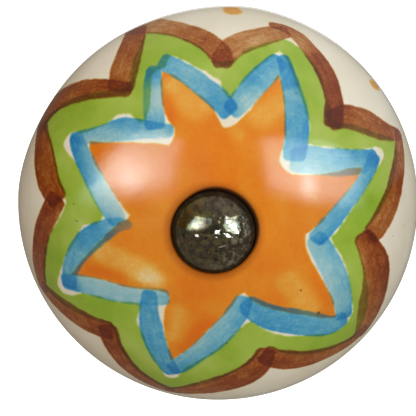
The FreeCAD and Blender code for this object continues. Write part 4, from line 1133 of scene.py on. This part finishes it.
# %% Turn the collar, washer and nut
SHEET, CUP_HEIGHT, FLANGE_RADIUS = 0.9, 6.0, 12.0
CUP_ROOT, CUP_TOP, COLLAR_HOLE = 9.9, 9.4, 2.25
lean = (CUP_ROOT - CUP_TOP) / (CUP_HEIGHT - SHEET)
inner_top = CUP_TOP - SHEET * math.hypot(1, lean) + lean * SHEET
inner_root = inner_top + lean * (CUP_HEIGHT - SHEET)
middle_of_cup = (CUP_TOP + COLLAR_HOLE) / 2
corners = [(middle_of_cup, CUP_HEIGHT), (CUP_TOP, CUP_HEIGHT), (CUP_ROOT, SHEET), (FLANGE_RADIUS, SHEET),
           (FLANGE_RADIUS, 0.0), (inner_root, 0.0), (inner_top, CUP_HEIGHT - SHEET),
           (COLLAR_HOLE, CUP_HEIGHT - SHEET), (COLLAR_HOLE, CUP_HEIGHT), (middle_of_cup - 0.5, CUP_HEIGHT)]
runs = [straight(a, b) for a, b in zip(corners, corners[1:])]
collar_outline, collar_wear = eased_outline(
    runs, [1.3, -0.8, 0.3, 0.3, 1.4, -0.4, 0.12, 0.12], [0.6] * len(runs), corner_points=8)
collar = turned("pressed_collar", collar_outline, collar_wear, antique_brass, spokes=160)
place_piece("pressed_collar", collar, "back_collar")

WASHER_RADIUS, WASHER_HOLE, WASHER_BACK, WASHER_FRONT = 4.5, 2.15, 4.3, 5.1
corners = [(3.3, WASHER_FRONT), (WASHER_RADIUS, WASHER_FRONT), (WASHER_RADIUS, WASHER_BACK),
           (WASHER_HOLE, WASHER_BACK), (WASHER_HOLE, WASHER_FRONT), (3.2, WASHER_FRONT)]
runs = [straight(a, b) for a, b in zip(corners, corners[1:])]
washer_outline, washer_wear = eased_outline(runs, [0.2, 0.12, 0.12, 0.12], [0.5] * len(runs), corner_points=5)
washer = turned("steel_washer", washer_outline, washer_wear, plated_steel, spokes=96)
place_piece("steel_washer", washer, "plain_washer")

NUT_FLATS, NUT_BACK, NUT_FRONT, NUT_BORE = 7.0, 1.1, 4.3, 2.03
nut_corner = NUT_FLATS / math.sqrt(3)
chamfer = (nut_corner + 0.05 - NUT_FLATS / 2 + 0.1) * math.tan(math.radians(30))
middle = (NUT_BACK + NUT_FRONT) / 2
corners = [(nut_corner + 0.05, middle), (nut_corner + 0.05, NUT_BACK + chamfer), (NUT_FLATS / 2 - 0.1, NUT_BACK),
           (NUT_BORE + 0.3, NUT_BACK), (NUT_BORE, NUT_BACK + 0.3), (NUT_BORE, NUT_FRONT - 0.3),
           (NUT_BORE + 0.3, NUT_FRONT), (NUT_FLATS / 2 - 0.1, NUT_FRONT),
           (nut_corner + 0.05, NUT_FRONT - chamfer), (nut_corner + 0.05, middle + 0.2)]
runs = [straight(a, b) for a, b in zip(corners, corners[1:])]
nut_outline, nut_wear = eased_outline(runs, [0.0, 0.05, 0.05, 0.05, 0.05, 0.05, 0.05, 0.0],
                                      [0.4, 0.05, 0.4, 0.1, 0.8, 0.1, 0.4, 0.05, 0.4], corner_points=3)
nut = turned("hexagon_nut", nut_outline, nut_wear, plated_steel, spokes=144, flats=NUT_FLATS * MM)
place_piece("hexagon_nut", nut, "retaining_nut")

# %% [markdown]
# ## Antique brass and plated steel
# The brass was darkened on purpose and then handled. The dark skin is thin and patchy, fine pits break
# the highlights, and bright metal shows in specks and on worn edges. The steel inside the cup has a
# dull zinc plate with a faint bluish and yellowish cast, and scuffs from the spanner.

# %% Antique brass
# Chips where bright metal shows through the lacquered skin: (right, up, turn in degrees, length, width,
# how far the chip's face is turned to the nearer highlight).
CHIPS = [(0.45, 0.45, 40, 0.75, 0.55, 1.0), (1.45, 0.1, -28, 1.1, 0.45, 1.0), (1.5, 1.4, -30, 0.8, 0.5, 0.9),
         (1.95, 0.9, -50, 1.5, 0.6, 0.5), (2.4, 0.45, -75, 0.8, 0.5, 0.9), (-1.55, 0.05, -30, 0.5, 0.35, 0.9),
         (0.9, -1.0, 20, 1.0, 0.16, 0.45), (0.35, -0.05, 0, 0.25, 0.22, 0.8)]
LEFT_HIGHLIGHT, RIGHT_HIGHLIGHT = (-1.85, 0.75), (1.95, 0.8)
FRONT_OF_HEAD = -33.0

antique_brass.use_nodes = True
wires = Wiring(antique_brass.node_tree)
place = wires.place_in_mm()
across, depth, high = wires.axes(place)
skin = clouds(wires, 0.8, 5.0, 0.35, 0.68)
tinge = clouds(wires, 0.35, 3.0, 0.4, 0.6)
colour = wires.blend(tinge, tint(74, 70, 24), tint(82, 58, 34))
colour = wires.blend(wires.times(skin, 0.7), colour, tint(116, 104, 62))
mottle = wires.ramp(wires.noise(place, 1.7, 5.0, 0.65), 0.38, 0.62, 0.35, 1.75)
colour = wires.vector("SCALE", colour, mottle)
in_front = wires.calc("LESS_THAN", depth, FRONT_OF_HEAD)
low_right = wires.ramp(wires.minus(across, wires.times(high, 0.5)), 0.4, 3.0)
low_right = wires.times(low_right, in_front)
worn = clouds(wires, 1.7, 5.0, 0.48, 0.62)
worn = wires.times(worn, low_right)
colour = wires.blend(wires.times(worn, 0.6), colour, tint(150, 142, 136))
bright = use(wires, speck_group, {"Per mm": 2.6, "Size": 0.2, "Share": 0.45})["Mask"]
flecks = wires.times(bright, clouds(wires, 0.6, 3.0, 0.42, 0.56))
colour = wires.blend(wires.times(flecks, 0.7), colour, tint(210, 200, 182))
pits = use(wires, speck_group, {"Per mm": 1.3, "Size": 0.32, "Share": 0.4})["Mask"]
dark = clouds(wires, 1.5, 3.0, 0.46, 0.54)
high_right = wires.times(wires.ramp(across, 2.0, 2.8), wires.ramp(high, 0.0, 0.8))
dark = wires.times(dark, wires.times(high_right, in_front))
pits = wires.most(wires.times(pits, 0.6), wires.times(dark, 0.65))
colour = wires.blend(pits, colour, tint(22, 19, 14))
# Painted shade round the head's edge, where it meets the glaze; that ring is also made rough, dull and bare of
# lacquer.
from_axis = wires.vector("LENGTH", wires.vector("MULTIPLY", place, (1.0, 0.0, 1.0)))
painted_edge_shade = wires.times(wires.ramp(from_axis, 3.45, 3.76), wires.calc("LESS_THAN", depth, -32.0))
colour = wires.blend(wires.times(painted_edge_shade, 0.9), colour, tint(24, 15, 8))

ragged = wires.times(wires.minus(wires.noise(place, 3.0, 3.0, 0.6), 0.5), 1.3)
chipped, faces = 0.0, 0.0
for right_of, above, turn, length, width, turned_to in CHIPS:
    off_x, off_z = wires.minus(across, right_of), wires.minus(high, above)
    c, s = math.cos(math.radians(turn)), math.sin(math.radians(turn))
    run = wires.plus(wires.times(off_x, c), wires.times(off_z, s))
    rise = wires.minus(wires.times(off_z, c), wires.times(off_x, s))
    reach = wires.plus(wires.calc("DIVIDE", wires.calc("ABSOLUTE", run), length / 2),
                       wires.calc("DIVIDE", wires.calc("ABSOLUTE", rise), width / 2))
    chip = wires.ramp(wires.plus(reach, ragged), 0.75, 1.3, 1.0, 0.0)
    chipped = wires.most(chipped, chip)
    bright_x, bright_z = LEFT_HIGHLIGHT if right_of < 0 else RIGHT_HIGHLIGHT
    fall_x, fall_z = ((spot - here) * turned_to / dome_radius for spot, here in
                      ((bright_x, right_of), (bright_z, above)))
    drop = wires.plus(wires.times(off_x, fall_x), wires.times(off_z, fall_z))
    faces = wires.minus(faces, wires.times(chip, drop))
chipped, faces = wires.times(chipped, in_front), wires.times(faces, in_front)
colour = wires.blend(chipped, colour, tint(220, 208, 190))

rub = wires.times(wires.reading("wear"), wires.ramp(wires.noise(place, 1.2, 4.0), 0.3, 0.7))
rub = wires.times(rub, wires.rest(painted_edge_shade))
colour = wires.blend(wires.times(rub, 0.5), colour, tint(180, 160, 110))

# The left side stayed smooth. The right side took the knocks, so its mirror image is broken up.
knocked = wires.ramp(across, -0.6, 1.0)
knocks = wires.times(wires.noise(place, 1.0, 1.0, 0.5), wires.times(knocked, 0.20))
height = wires.plus(wires.times(wires.noise(place, 1.2, 2.0), 0.012), knocks)
height = wires.plus(height, faces)
# The lacquer fills the pits, so it has its own relief.
lacquer_bump = wires.bump(height)
height = wires.minus(height, wires.times(pits, 0.02))
bump = wires.bump(height)
roughness = wires.plus(wires.times(skin, -0.04), 0.18)
roughness = wires.plus(roughness, wires.times(wires.most(pits, painted_edge_shade), 0.4))
lacquer = wires.rest(wires.most(painted_edge_shade, pits))
metal = wires.node("ShaderNodeBsdfPrincipled", {
    "Base Color": colour, "Roughness": roughness, "Normal": bump,
    "Metallic": wires.rest(wires.most(wires.times(painted_edge_shade, 0.9),
                                                        wires.times(worn, 0.35))),
    "Specular IOR Level": 0.1, "Coat Weight": lacquer, "Coat Roughness": 0.05, "Coat IOR": 1.8,
    "Coat Normal": lacquer_bump})
wires.node("ShaderNodeOutputMaterial", {0: metal.outputs[0]})
print(antique_brass.name, len(antique_brass.node_tree.nodes), "nodes")

# %% Plated steel
plated_steel.use_nodes = True
wires = Wiring(plated_steel.node_tree)
cast = use(wires, cloud_group, {"Per mm": 0.5, "Detail": 3.0, "Low": 0.35, "High": 0.65})["Mask"]
colour = wires.blend(cast, tint(198, 200, 204), tint(206, 200, 182))
scuffs = use(wires, speck_group, {"Per mm": 1.6, "Size": 0.28, "Share": 0.3})["Mask"]
colour = wires.blend(wires.times(scuffs, 0.5), colour, tint(140, 138, 132))
rub = wires.times(wires.reading("wear"), 0.6)
colour = wires.blend(rub, colour, tint(228, 228, 226))
height = wires.times(wires.noise(wires.place_in_mm(), 5.0, 3.0), 0.012)
bump = wires.bump(height)
roughness = wires.plus(wires.times(cast, 0.12), 0.30)
metal = wires.node("ShaderNodeBsdfPrincipled", {"Base Color": colour, "Roughness": roughness, "Metallic": 1.0,
                                                "Normal": bump})
wires.node("ShaderNodeOutputMaterial", {0: metal.outputs[0]})
print(plated_steel.name, len(plated_steel.node_tree.nodes), "nodes")

# %% [markdown]
# ## Finish
# The dressed knob may stand only a hair outside the imported one. The Standard view shows each colour as
# it was mixed.

# %% Finish
bpy.context.scene.view_settings.view_transform = "Standard"
